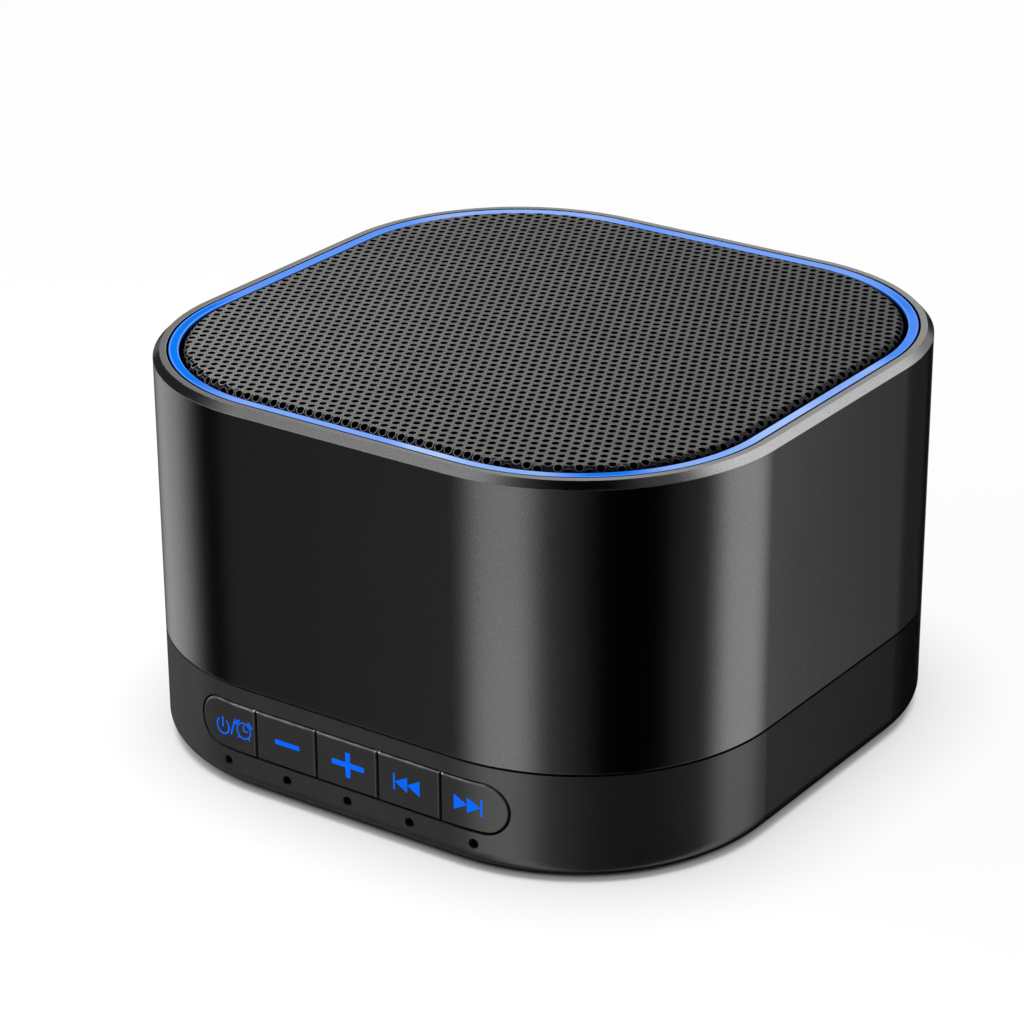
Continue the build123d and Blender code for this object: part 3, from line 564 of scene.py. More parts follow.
def tracks(pitch):
    """Copper tracks under solder mask: lines that step between rows."""
    step_length = 7 * pitch

    def pattern(recipe, place):
        x, y, _ = recipe.split(place)
        step = recipe.times(recipe.math("PINGPONG", x, step_length), 0.5)
        shifted = recipe.joined(recipe.plus(y, recipe.math("SNAP", step, pitch)), x, 0.0)
        return recipe.smooth(bands("X", pitch)(recipe, shifted), 0.55, 0.7)

    return pattern


# ---------------------------------------------------------------- finishes
# What a finish is when its own entry says nothing else. colour and tint are two tones of the grain. grain and
# drift are the sizes of its fine and its slow part, and relief is the depth of the fine one. rough is the
# mean roughness and its spread. wear pales the edges toward worn_and_lit: rubbing on some
# finishes, a painted highlight on others, and only on the upward side of the edges where highlight_upward
# is 1. sides is the colour of painted shade where the surface turns down. A pattern is a function with a
# colour, a depth and a strength.
PLAIN = dict(
    tint=None, rough=(0.5, 0.1), grain=0.3 * MM, drift=12 * MM, relief=0.008 * MM, metallic=0.0,
    specular=0.5, edge_tint=1.0, coat=0.0, dust=0.0, sides=None,
    wear=0.0, worn_and_lit=(0.2, 0.2, 0.2), wear_and_highlight_width=0.15 * MM, highlight_upward=0.0,
    pattern=None, pattern_colour=(0.0, 0.0, 0.0), pattern_depth=0.02 * MM, pattern_strength=1.0,
)
BLACK = (0.0, 0.0, 0.0, 1.0)
DUST = (0.35, 0.34, 0.32, 1.0)


def outer_finishes():
    colours = settings("colours")
    satin_paint = dict(rough=(0.21, 0.06), drift=60 * MM, metallic=0.82, specular=0.2, edge_tint=0.1)
    return {
        # The sleeve's paler edges are a painted highlight along its bevelled edges.
        "sleeve_metal": dict(
            colour=colours.sleeve, rough=(0.2, 0.03), grain=0.33 * MM, drift=60 * MM, relief=0.008 * MM,
            metallic=1.0, wear=0.8, worn_and_lit=(0.5, 0.5, 0.51), wear_and_highlight_width=0.22 * MM,
        ),
        "base_plastic": dict(**satin_paint, colour=colours.base, relief=0.02 * MM),
        # The keys' paler upper edges are a painted highlight.
        "key_plastic": dict(
            **satin_paint, colour=colours.keys, relief=0.016 * MM, wear=1.0, worn_and_lit=(0.95, 0.95, 0.95),
            wear_and_highlight_width=0.55 * MM, highlight_upward=1.0,
        ),
        # The grille's paler upper edges and hole rims are a painted highlight.
        "grille_metal": dict(
            colour=colours.grille, rough=(0.55, 0.12), grain=0.12 * MM, relief=0.012 * MM, dust=0.02,
            specular=0.15, wear=0.9, worn_and_lit=(0.3, 0.3, 0.295), wear_and_highlight_width=0.24 * MM, highlight_upward=1.0,
            # sides paints shade: the grille's bend and skirt, which turn down from the top, are near black with
            # a faint blue of the ring's light.
            sides=(0.003, 0.003, 0.005),
        ),
        "foot_rubber": dict(colour=(0.012, 0.012, 0.012), rough=(0.8, 0.1), relief=0.02 * MM, dust=0.1),
        "frame_plastic": dict(colour=(0.01, 0.01, 0.01), rough=(0.5, 0.1), wear=0.2),
        "socket_steel": dict(
            colour=(0.6, 0.6, 0.6), rough=(0.3, 0.1), metallic=1.0, pattern=bands("Y", 0.12 * MM, 2.0),
            pattern_colour=(0.45, 0.45, 0.45), pattern_depth=0.001 * MM, pattern_strength=0.4,
        ),
        "socket_black": dict(colour=(0.012, 0.012, 0.012), rough=(0.4, 0.08)),
    }


def speaker_finishes():
    return {
        "basket_steel": dict(
            colour=(0.03, 0.03, 0.03), rough=(0.42, 0.1), relief=0.01 * MM, coat=0.15, wear=0.4,
        ),
        "motor_steel": dict(
            colour=(0.55, 0.54, 0.5), rough=(0.32, 0.1), metallic=1.0, pattern=cells(1.2 * MM),
            pattern_colour=(0.4, 0.42, 0.45), pattern_depth=0.002 * MM, pattern_strength=0.3,
        ),
        "ferrite": dict(
            colour=(0.035, 0.035, 0.037), rough=(0.6, 0.2), relief=0.02 * MM, pattern=cells(0.5 * MM),
            pattern_colour=(0.06, 0.06, 0.06), pattern_depth=0.01 * MM, pattern_strength=0.5,
        ),
        "cone_paper": dict(
            colour=(0.03, 0.03, 0.031), rough=(0.85, 0.1), relief=0.02 * MM, pattern=fibres(0.5 * MM),
            pattern_colour=(0.055, 0.053, 0.05), pattern_depth=0.05 * MM, pattern_strength=0.6,
        ),
        "surround_rubber": dict(colour=(0.012, 0.012, 0.012), rough=(0.45, 0.08), dust=0.08),
        "gasket_foam": dict(
            colour=(0.02, 0.02, 0.02), rough=(0.9, 0.08), pattern=cells(0.35 * MM),
            pattern_colour=(0.004, 0.004, 0.004), pattern_depth=0.08 * MM, pattern_strength=0.8,
        ),
        "spider_cloth": dict(
            colour=(0.45, 0.28, 0.1), tint=(0.5, 0.33, 0.14), rough=(0.8, 0.1), pattern=weave(0.45 * MM),
            pattern_colour=(0.3, 0.17, 0.05), pattern_depth=0.05 * MM, pattern_strength=0.5,
        ),
        "coil_copper": dict(
            colour=(0.55, 0.2, 0.08), rough=(0.28, 0.08), metallic=1.0, pattern=bands("Z", 0.2 * MM),
            pattern_colour=(0.3, 0.1, 0.04), pattern_depth=0.04 * MM, pattern_strength=0.6,
        ),
        "terminal_board": dict(
            colour=(0.16, 0.07, 0.025), rough=(0.6, 0.12), pattern=weave(0.3 * MM),
            pattern_colour=(0.1, 0.045, 0.015), pattern_depth=0.01 * MM, pattern_strength=0.5,
        ),
        "screw_steel": dict(
            colour=(0.5, 0.5, 0.5), rough=(0.3, 0.1), metallic=1.0, pattern=bands("Z", 0.5 * MM),
            pattern_colour=(0.3, 0.3, 0.3), pattern_depth=0.1 * MM, pattern_strength=0.5,
        ),
    }


def board_finishes():
    return {
        "board": dict(
            colour=(0.01, 0.09, 0.035), tint=(0.012, 0.11, 0.045), rough=(0.32, 0.08), coat=0.4,
            pattern=tracks(1.1 * MM), pattern_colour=(0.02, 0.17, 0.07), pattern_depth=0.03 * MM,
            pattern_strength=0.8,
        ),
        "lamp": dict(colour=(0.75, 0.75, 0.68), tint=(0.8, 0.78, 0.6), rough=(0.25, 0.05), coat=0.3),
        "switch": dict(colour=(0.02, 0.02, 0.021), rough=(0.35, 0.06), wear=0.3),
        "chip": dict(
            colour=(0.012, 0.012, 0.013), rough=(0.55, 0.1), relief=0.01 * MM, pattern=cells(0.08 * MM),
            pattern_colour=(0.025, 0.025, 0.025), pattern_depth=0.004 * MM, pattern_strength=0.5,
        ),
        "capacitor": dict(
            colour=(0.55, 0.55, 0.57), rough=(0.25, 0.08), metallic=1.0, pattern=bands("Z", 0.1 * MM, 1.5),
            pattern_colour=(0.45, 0.45, 0.46), pattern_depth=0.001 * MM, pattern_strength=0.4,
        ),
        "header": dict(
            colour=(0.68, 0.64, 0.52), tint=(0.72, 0.69, 0.58), rough=(0.42, 0.06), relief=0.004 * MM,
        ),
        "wire_red": dict(colour=(0.4, 0.012, 0.008), rough=(0.4, 0.06), relief=0.004 * MM),
        "wire_black": dict(colour=(0.012, 0.012, 0.012), rough=(0.4, 0.06), relief=0.004 * MM),
        "ribbon_grey": dict(
            colour=(0.32, 0.32, 0.34), rough=(0.45, 0.06), pattern=bands("X", 1.0 * MM),
            pattern_colour=(0.2, 0.2, 0.21), pattern_depth=0.12 * MM, pattern_strength=0.7,
        ),
    }


# Painted shade: the holes' walls are near black and without gloss, so that the holes read as shadow.
SHADED_HOLE_WALLS = dict(colour=(0.004, 0.004, 0.004), rough=(0.9, 0.05), relief=0.004 * MM, specular=0.0)


def opaque(colour):
    return (*colour[:3], 1.0)


def finish(slot, look):
    """A material from one look: grained colour, a pattern, painted shade on its sides, paler edges for rubbing
    and for painted highlights, settled dust and a fine relief.
    """
    look = {**PLAIN, **look}
    material = bpy.data.materials.new("finish_" + slot)
    recipe = empty_recipe(material)
    place = recipe.object_place()
    tint_lift, dust_roughness, coat_roughness = 1.18, 0.5, 0.15
    tint = look["tint"] or [min(1.0, tint_lift * part) for part in look["colour"]]
    grain = recipe.group(
        shared(surface_grain), vector=place, grain=look["grain"], drift=look["drift"],
        colour=opaque(look["colour"]), tint=opaque(tint), roughness=look["rough"][0], spread=look["rough"][1],
    )
    colour, roughness, metallic = grain["Colour"], grain["Roughness"], look["metallic"]
    bump = recipe.bump(grain["Height"], look["relief"])
    if look["pattern"]:
        lines = look["pattern"](recipe, place)
        share = recipe.times(lines, look["pattern_strength"])
        colour = recipe.mix(share, colour, opaque(look["pattern_colour"]))
        bump = recipe.bump(lines, look["pattern_depth"], Normal=bump)
    # Painted shade: where the surface turns from up toward the side it takes the sides colour.
    if look["sides"]:
        colour = recipe.mix(recipe.smooth(recipe.upward(), 0.9, 0.99), opaque(look["sides"]), colour)
    # Paler edges: rubbing on some finishes, and a painted highlight on the sleeve, the keys and the grille.
    if look["wear"]:
        worn_and_lit = recipe.group(
            shared(edge_wear), vector=place, width=look["wear_and_highlight_width"], amount=look["wear"],
            upward=look["highlight_upward"],
        )["Mask"]
        colour = recipe.mix(worn_and_lit, colour, opaque(look["worn_and_lit"]))
        metallic = recipe.times(metallic, recipe.minus(1.0, worn_and_lit))
    if look["dust"]:
        dust = recipe.group(shared(settled_dust), vector=place, amount=look["dust"])["Mask"]
        colour = recipe.mix(dust, colour, DUST)
        roughness = recipe.plus(roughness, recipe.times(dust, dust_roughness))
    shader = recipe.first(
        "ShaderNodeBsdfPrincipled",
        {"Base Color": colour, "Roughness": roughness, "Normal": bump, "Metallic": metallic,
         "Specular IOR Level": look["specular"], "Specular Tint": opaque((look["edge_tint"],) * 3),
         "Coat Weight": look["coat"], "Coat Roughness": coat_roughness, "IOR": 1.5},
    )
    recipe.add("ShaderNodeOutputMaterial", {"Surface": shader})
    return material


def dress_nodes(finishes):
    """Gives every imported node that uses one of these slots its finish."""
    made = {slot: finish(slot, look) for slot, look in finishes.items()}
    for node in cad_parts.values():
        for held in node.material_slots:
            plain = held.material.name.split(".")[0] if held.material else ""
            held.material = made.get(plain, held.material)


def lit_start(name, colour):
    """A new material with its recipe, its Object coordinates and a grain of one colour."""
    recipe = empty_recipe(bpy.data.materials.new(name))
    place = recipe.object_place()
    fade = 0.9
    grain = recipe.group(
        shared(surface_grain), vector=place, grain=0.4 * MM, drift=6 * MM, colour=opaque(colour),
        tint=opaque([fade * part for part in colour]), roughness=0.3, spread=0.08,
    )
    return recipe, place, grain


def lit_plastic(name, glow, recipe, grain):
    """A faintly glossy tinted surface that gives off its own light: lamp light in the ring, a painted glow on
    the key symbols.
    """
    darkening = 0.96  # how far the plastic's own colour goes from its light's colour to black
    shader = recipe.first(
        "ShaderNodeBsdfPrincipled",
        {"Base Color": recipe.mix(darkening, glow, BLACK), "Roughness": grain["Roughness"],
         "Normal": recipe.bump(grain["Height"], 0.003 * MM), "Emission Color": glow,
         "Emission Strength": 1.0, "Specular IOR Level": 0.0},
    )
    recipe.add("ShaderNodeOutputMaterial", {"Surface": shader})
    return bpy.data.materials[name]


def ink_material(name):
    """Ink with a painted glow of its own colour."""
    recipe, _, grain = lit_start(name, settings("light").symbol)
    return lit_plastic(name, grain["Colour"], recipe, grain)


def ring_material(name):
    """Light that leaves the ring's top: paler along some stretches, with a painted highlight along its edges,
    and dark down its sides.
    """
    light, sizes = settings("light"), settings("shell")
    recipe, place, grain = lit_start(name, light.ring_deep)
    x, y, height = recipe.split(place)
    pale_stretch = panel_light(recipe, azimuth_of(recipe, x, y), RING_PALE_STRETCHES)
    reach = plan_coordinates(recipe, place, HALF - sizes.corner_radius)[2]
    across = recipe.minus(sizes.corner_radius - (HALF - RING_HIGH.x), reach)
    # Two pale lines along the ring's edges: a painted highlight.
    outer_line, inner_line = 0.3 * MM, sizes.ring_width - 0.12 * MM
    lines = [
        recipe.smooth(recipe.math("ABSOLUTE", recipe.minus(across, middle)), 0.04 * MM, 0.14 * MM, 1.0, 0.0)
        for middle in (outer_line, inner_line)
    ]
    edge = recipe.times(recipe.math("MAXIMUM", *lines), light.ring_edge_pale)
    glow = recipe.mix(recipe.math("MAXIMUM", pale_stretch, edge), grain["Colour"], opaque(light.ring_pale))
    depth = recipe.minus(RING_HIGH.z, height)
    top = recipe.times(recipe.smooth(recipe.upward(), 0.2, 0.6), recipe.smooth(across, 0.1 * MM, 0.2 * MM))
    inner = recipe.smooth(across, 0.5 * sizes.ring_width, 0.9 * sizes.ring_width, 0.0, 0.2)
    wall = recipe.times(inner, recipe.smooth(depth, 0.1 * MM, 0.7 * MM, 1.0, 0.0))
    near_top = recipe.smooth(depth, 0.5 * MM, 0.8 * MM, 1.0, 0.0)
    open_face = recipe.times(recipe.math("MAXIMUM", top, wall), near_top)
    return lit_plastic(name, recipe.mix(open_face, BLACK, glow), recipe, grain)


# ---------------------------------------------------------------- forms carried round the plan
def new_piece(name, mesh=None):
    piece = bpy.data.objects.new(name, mesh or bpy.data.meshes.new(name))
    bpy.context.scene.collection.objects.link(piece)
    return piece


def drawn_piece(name, shape, material):
    """A piece from a bmesh, which is used up."""
    mesh = bpy.data.meshes.new(name)
    shape.to_mesh(mesh)
    shape.free()
    mesh.materials.append(material)
    return new_piece(name, mesh)


def plan_coordinates(recipe, position, core_half):
    """A point's nearest place in the core square, its direction from there and its distance from there."""
    x, y, _ = recipe.split(position)
    below = recipe.times(core_half, -1.0)
    core = recipe.joined(recipe.clamp(x, below, core_half), recipe.clamp(y, below, core_half), 0.0)
    offset = recipe.vector("SUBTRACT", recipe.joined(x, y, 0.0), core)
    return core, recipe.vector("NORMALIZE", offset), recipe.number("LENGTH", offset)


def plan_sweep_tree():
    """Carries a profile round the plan's outline. Its X is minus the inset, and its Y minus the height."""
    tree, recipe, given, out = node_group(
        "plan_sweep", "GeometryNodeTree",
        {"Profile": "Geometry", "Side": "Float", "Corner Radius": "Float", "Corner Steps": "Int",
         "Edge Softness": "Float", "Finish": "Material"},
        {"Geometry": "Geometry"},
    )
    edge_steps = 3
    outline = recipe.rounded_square(given["Side"], given["Corner Radius"], given["Corner Steps"])
    sharp = recipe.first("GeometryNodeMeshToCurve", {0: given["Profile"]})
    profile = recipe.rounded(sharp, given["Edge Softness"], edge_steps)
    swept = recipe.first("GeometryNodeCurveToMesh", {"Curve": outline, "Profile Curve": profile})
    smooth = recipe.first("GeometryNodeSetShadeSmooth", {0: swept})
    real = recipe.first("GeometryNodeRealizeInstances", {0: smooth})
    dressed = recipe.first("GeometryNodeSetMaterial", {0: real, "Material": given["Finish"]})
    recipe.feed(out["Geometry"], dressed)
    return tree


def swept_piece(name, profile, material):
    """A closed profile of (inset, height) points, ordered down the outside and up the inside, as a piece."""
    sizes = settings("shell")
    mesh = bpy.data.meshes.new(name)
    edges = [(i, (i + 1) % len(profile)) for i in range(len(profile))]
    mesh.from_pydata([(-inset, -height, 0.0) for inset, height in profile], edges, [])
    tree = bpy.data.node_groups.get("plan_sweep") or plan_sweep_tree()
    piece = run_tree(
        new_piece(name, mesh), tree,
        {"Side": 2 * HALF, "Corner Radius": sizes.corner_radius, "Corner Steps": sizes.corner_steps,
         "Edge Softness": sizes.edge_softness, "Finish": material},
    )
    flatten_shading(piece)
    return piece


def flatten_shading(piece):
    """Keeps large faces flat in shade beside their small rounded edges."""
    weighted = piece.modifiers.new("weighted", "WEIGHTED_NORMAL")
    weighted.mode = "FACE_AREA"
    piece.data = evaluated_mesh(piece)
    piece.modifiers.remove(weighted)


def sleeve_profile():
    sizes = settings("shell")
    low, high = SLEEVE_LOW.z, SLEEVE_HIGH.z
    skirt_top, ledge = low + sizes.skirt_height, high - sizes.ledge_depth
    return [
        (sizes.rim_chamfer, high), (0.0, high - sizes.rim_chamfer),
        (0.0, low + sizes.foot_chamfer), (sizes.foot_chamfer, low),
        (sizes.skirt_wall, low), (sizes.skirt_wall, skirt_top),
        (sizes.wall, skirt_top), (sizes.wall, ledge),
        (sizes.rim_wall, ledge), (sizes.rim_wall, high),
    ]


def ring_profile():
    """The ring's foot, and the land that shows between the rim and the grille."""
    sizes = settings("shell")
    low, high, foot_top = RING_LOW.z, RING_HIGH.z, GRILLE_LOW.z
    outer = HALF - RING_HIGH.x
    inner, foot_inner = outer + sizes.ring_width, ring_foot_inset()
    edge = sizes.ring_edge
    return [
        (outer, high - edge), (outer, low), (foot_inner, low), (foot_inner, foot_top), (inner, foot_top),
        (inner, high - edge), (inner - edge, high), (outer + edge, high),
    ]


def ring_foot_inset():
    """How far in the ring's foot reaches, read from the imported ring's points beside its straight sides."""
    past_straight = 0.1 * MM
    core = HALF - settings("shell").corner_radius + past_straight
    points = [vertex.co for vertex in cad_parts["light_ring"].data.vertices]
    return HALF - min(abs(point.y) for point in points if abs(point.x) < core)


# ---------------------------------------------------------------- perforated grille
def grille_tree():
    """A flat sheet with staggered holes, given its thickness, then bent down round its edge."""
    tree, recipe, given, out = node_group(
        "perforated_grille", "GeometryNodeTree",
        {"Geometry": "Geometry", "Core": "Float", "Flat Radius": "Float", "Bend Radius": "Float",
         "Skirt": "Float", "Sheet": "Float", "Top": "Float", "Hole Radius": "Float", "Hole Sides": "Int",
         "Pitch": "Float", "Row Pitch": "Float", "Start": "Vector", "Plain Edge": "Float",
         "Finish": "Material", "Hole Finish": "Material"},
        {"Geometry": "Geometry"},
    )
    here = recipe.first("GeometryNodeInputPosition")
    core, outward, reach = plan_coordinates(recipe, here, given["Core"])
    bend_length = recipe.times(given["Bend Radius"], pi / 2)
    sheet_radius = recipe.plus(recipe.plus(given["Flat Radius"], bend_length), given["Skirt"])
    blank = punched_blank(recipe, given, sheet_radius, reach)
    solid, walls = thick_sheet(recipe, given, blank)
    away, height = bent_section(recipe, given, bend_length, reach, recipe.split(here)[2])
    flat_place = recipe.vector("ADD", core, recipe.scaled(outward, away))
    bent_place = recipe.vector("ADD", flat_place, recipe.joined(0.0, 0.0, height))
    bent = recipe.first("GeometryNodeSetPosition", {"Geometry": solid, "Position": bent_place})
    real = recipe.first("GeometryNodeRealizeInstances", {0: bent})
    coated = recipe.first("GeometryNodeSetMaterial", {0: real, "Material": given["Finish"]})
    cut = {0: coated, "Selection": walls, "Material": given["Hole Finish"]}
    recipe.feed(out["Geometry"], recipe.first("GeometryNodeSetMaterial", cut))
    return tree


def punched_blank(recipe, given, sheet_radius, reach):
    """The flat sheet's face, with a hole at every centre that lies far enough in from its edge."""
    corner_steps = 48
    half = recipe.plus(given["Core"], sheet_radius)
    outline = recipe.rounded_square(recipe.times(half, 2.0), sheet_radius, corner_steps)
    limit = recipe.minus(recipe.minus(sheet_radius, given["Plain Edge"]), given["Hole Radius"])
    inside = recipe.first(
        "FunctionNodeCompare", {0: reach, 1: limit}, data_type="FLOAT", operation="LESS_EQUAL"
    )
    hole = recipe.first(
        "GeometryNodeCurvePrimitiveCircle",
        {"Resolution": given["Hole Sides"], "Radius": given["Hole Radius"]},
    )
    holes = recipe.first(
        "GeometryNodeInstanceOnPoints",
        {"Points": hole_centres(recipe, given, half), "Selection": inside, "Instance": hole},
    )
    real_holes = recipe.first("GeometryNodeRealizeInstances", {0: holes})
    return recipe.first("GeometryNodeFillCurve", {0: recipe.together(outline, real_holes)}, mode="TRIANGLES")


def hole_centres(recipe, given, half):
    """Two grids of points, the second one half a stride from the first both ways, up to the sheet's sides."""
    stride = recipe.times(given["Row Pitch"], 2.0)
    columns = recipe.math("FLOOR", recipe.over(half, given["Pitch"]))
    rows = recipe.math("FLOOR", recipe.over(half, stride))
    grids = []
    for fewer in (0.0, 1.0):
        across = recipe.minus(recipe.times(columns, 2.0), fewer)
        along = recipe.minus(recipe.times(rows, 2.0), fewer)
        sockets = {
            "Size X": recipe.times(across, given["Pitch"]), "Vertices X": recipe.plus(across, 1.0),
            "Size Y": recipe.times(along, stride), "Vertices Y": recipe.plus(along, 1.0),
        }
        grids.append(recipe.first("GeometryNodeMeshGrid", sockets))
    sockets = {"Geometry": recipe.together(*grids), "Translation": given["Start"]}
    return recipe.first("GeometryNodeTransform", sockets)


def thick_sheet(recipe, given, blank):
    """The blank with its lower face and its walls, and the selection of its walls."""
    down = recipe.joined(0.0, 0.0, recipe.times(given["Sheet"], -1.0))
    lowered = recipe.add(
        "GeometryNodeExtrudeMesh", {"Mesh": blank, "Offset": down, "Individual": False}, mode="FACES"
    ).outputs
    closed = recipe.together(blank, recipe.first("GeometryNodeFlipFaces", {0: lowered["Mesh"]}))
    solid = recipe.first("GeometryNodeMergeByDistance", {0: closed, "Distance": 0.001 * MM})
    return solid, lowered["Side"]


def bent_section(recipe, given, bend_length, reach, depth):
    """How far out and how high a point of the flat sheet comes to lie once the sheet's edge is bent down."""
    bend = given["Bend Radius"]
    past = recipe.minus(reach, given["Flat Radius"])
    angle = recipe.clamp(recipe.over(past, bend), 0.0, pi / 2)
    fall = recipe.math("MAXIMUM", recipe.minus(past, bend_length), 0.0)
    layer = recipe.plus(bend, depth)
    flat = recipe.math("MINIMUM", reach, given["Flat Radius"])
    away = recipe.plus(flat, recipe.times(layer, recipe.math("SINE", angle)))
    level = recipe.minus(recipe.times(layer, recipe.math("COSINE", angle)), bend)
    return away, recipe.plus(given["Top"], recipe.minus(level, fall))


# ---------------------------------------------------------------- key symbols
def on_wall(along, height, proud):
    """The point of the outer wall that lies this far along it from the middle of the front."""
    radius = settings("shell").corner_radius
    straight = HALF - radius
    turned = max(abs(along) - straight, 0.0) / radius
    x = min(abs(along), straight) + (radius + proud) * sin(turned)
    y = -straight - (radius + proud) * cos(turned)
    return Vector((x if along >= 0 else -x, y, height))


def line(start, end, width, steps=6):
    """A straight stroke as pairs of edge points."""
    dx, dy = end[0] - start[0], end[1] - start[1]
    size = hypot(dx, dy)
    side = (-dy / size * width / 2, dx / size * width / 2)
    pairs = []
    for step in range(steps + 1):
        x, y = start[0] + dx * step / steps, start[1] + dy * step / steps
        pairs.append(((x + side[0], y + side[1]), (x - side[0], y - side[1])))
    return pairs


def arc(middle, radius, start, end, width, steps=28):
    """A round stroke between two angles in degrees, anticlockwise from the right."""
    pairs = []
    for step in range(steps + 1):
        turn = radians(start + (end - start) * step / steps)
        inner, outer = radius - width / 2, radius + width / 2
        pairs.append(tuple((middle[0] + r * cos(turn), middle[1] + r * sin(turn)) for r in (inner, outer)))
    return pairs


def wedge(tip, base_x, half, steps=6):
    """An arrow head from its tip, which is left a little blunt, to its upright base."""
    blunt = 0.02
    pairs = []
    for step in range(steps + 1):
        share = blunt + (1 - blunt) * step / steps
        x = tip[0] + (base_x - tip[0]) * step / steps
        pairs.append(((x, tip[1] + half * share), (x, tip[1] - half * share)))
    return pairs


def add_stroke(shape, pairs, thickness):
    """Adds one stroke to a mesh as a closed slip that follows the wall."""
    sunk = -thickness / 2
    levels = []
    for proud in (sunk, thickness):
        levels.append([[shape.verts.new(on_wall(x, z, proud)) for x, z in pair] for pair in pairs])
    under, over = levels
    for i in range(len(pairs) - 1):
        shape.faces.new((over[i][0], over[i][1], over[i + 1][1], over[i + 1][0]))
        shape.faces.new((under[i + 1][0], under[i + 1][1], under[i][1], under[i][0]))
        for side in (0, 1):
            shape.faces.new((under[i][side], under[i + 1][side], over[i + 1][side], over[i][side]))
    for end in (0, -1):
        shape.faces.new((under[end][0], under[end][1], over[end][1], over[end][0]))


def symbol(name, body, strokes, material):
    """A printed symbol that rides on its key."""
    shape = bmesh.new()
    for pairs in strokes:
        add_stroke(shape, pairs, settings("symbols").thickness)
    bmesh.ops.recalc_face_normals(shape, faces=shape.faces)
    piece = drawn_piece(name, shape, material)
    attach(piece, body)
    return piece


def power_strokes(middle):
    sizes = settings("symbols")
    radius, stroke = sizes.ring_radius, sizes.stroke
    gap = 35  # degrees that the ring leaves open on each side of its top
    foot, top = middle[1] - 0.1 * radius, middle[1] + radius + stroke
    return [
        arc(middle, radius, 90 + gap, 450 - gap, stroke),
        line((middle[0], foot), (middle[0], top), stroke),
    ]


def clock_strokes(middle):
    """An alarm clock: face, two bells, two feet and two hands."""
    sizes = settings("symbols")
    x, y = middle
    radius, stroke = sizes.ring_radius, 0.8 * sizes.stroke
    bell_turn, bell_half, foot_turn = 46, 20, 40  # degrees
    bell_radius, bell_stroke = radius + 2.2 * stroke, 1.7 * stroke
    foot_start, foot_end = radius + stroke / 2, radius + 2.4 * stroke
    strokes = [arc(middle, radius, 0, 360, stroke)]
    for side in (-1, 1):
        bell = 90 - side * bell_turn
        strokes.append(arc(middle, bell_radius, bell - bell_half, bell + bell_half, bell_stroke, steps=8))
        foot = radians(270 + side * foot_turn)
        ends = [(x + reach * cos(foot), y + reach * sin(foot)) for reach in (foot_start, foot_end)]
        strokes.append(line(*ends, stroke, steps=2))
    strokes.append(line(middle, (x, y + 0.68 * radius), stroke, steps=3))
    strokes.append(line((x + stroke / 2, y), (x + 0.6 * radius, y), stroke, steps=3))
    return strokes


def minus_strokes(middle):
    sizes = settings("symbols")
    x, y = middle
    half = sizes.sign_width / 2
    return [line((x - half, y), (x + half, y), sizes.heavy_stroke)]


def plus_strokes(middle):
    """One stroke across, and one above and one below it, so that no stroke lies on another."""
    sizes = settings("symbols")
    x, y = middle
    half_width, half_height = 0.65 * sizes.sign_width, 0.447 * sizes.sign_width
    stroke = 1.1 * sizes.heavy_stroke
    strokes = [line((x - half_width, y), (x + half_width, y), stroke)]
    for side in (-1, 1):
        strokes.append(line((x, y + side * stroke / 2), (x, y + side * half_height), stroke))
    return strokes


def skip_strokes(middle, pointing):
    """Two arrow heads and a bar; pointing is -1 for back and +1 for forward."""
    sizes = settings("symbols")
    x, y = middle
    bar, bar_half = 0.3 * MM, 1.08 * sizes.arrow_half
    nose = x + pointing * (2 * sizes.arrow_length + bar) / 2
    bar_x = nose - pointing * bar / 2
    strokes = [line((bar_x, y - bar_half), (bar_x, y + bar_half), bar)]
    for head in (0, 1):
        tip = nose - pointing * (bar + head * sizes.arrow_length)
        strokes.append(wedge((tip, y), tip - pointing * sizes.arrow_length, sizes.arrow_half))
    return strokes


# ---------------------------------------------------------------- stage
# Soft boxes round the object: azimuth of the middle from the front toward +X, half width and soft edge in
# degrees, and brightness. The low ones show in upright walls, the high ones in bevels and whatever faces up.
LOW_PANELS = {
    "left_box": (-98.0, 21.0, 30.0, 0.72),
    "back_left_box": (-149.5, 10.5, 10.0, 0.57),
    "front_fill": (-38.0, 12.0, 8.0, 0.06),
    "front_box": (-6.0, 17.0, 18.0, 0.7),
    "front_spill": (10.0, 24.0, 28.0, 0.1),
    "right_spill": (92.0, 10.0, 18.0, 0.06),
    "right_box": (125.5, 17.5, 18.0, 0.97),
    "right_fill": (166.0, 16.0, 10.0, 0.035),
}
HIGH_PANELS = {
    "front_left_box": (-44.0, 20.0, 28.0, 1.15),
    "front_spill": (-10.0, 12.0, 28.0, 0.12),
    "left_fill": (-95.0, 20.0, 12.0, 0.06),
    "back_left_box": (-160.0, 26.0, 28.0, 0.98),
    "right_spill": (90.0, 12.0, 30.0, 0.2),
    "right_box": (139.5, 24.5, 25.0, 2.4),
}
# Paler stretches of the ring, in the same terms; the last number is how pale they make it.
RING_PALE_STRETCHES = {
    "front": (-4.0, 24.0, 14.0, 0.5),
    "front_right": (24.0, 13.0, 8.0, 0.64),
    "right": (79.0, 30.0, 8.0, 0.6),
    "right_middle": (77.0, 9.0, 10.0, 0.3),
    "back_right": (120.0, 14.0, 12.0, 0.2),
    "back": (170.0, 28.0, 20.0, 0.45),
    "back_left": (-141.0, 19.0, 14.0, 0.66),
    "left": (-95.0, 24.0, 10.0, 0.27),
}
# The floor's glow by how open the sky above it is, from under the base's edge outwards.
CONTACT_SHADE = (
    (0.12, 0.0), (0.2, 0.24), (0.36, 0.25), (0.43, 0.62), (0.5, 0.75), (0.56, 0.8), (0.75, 0.9), (0.98, 1.0),
)


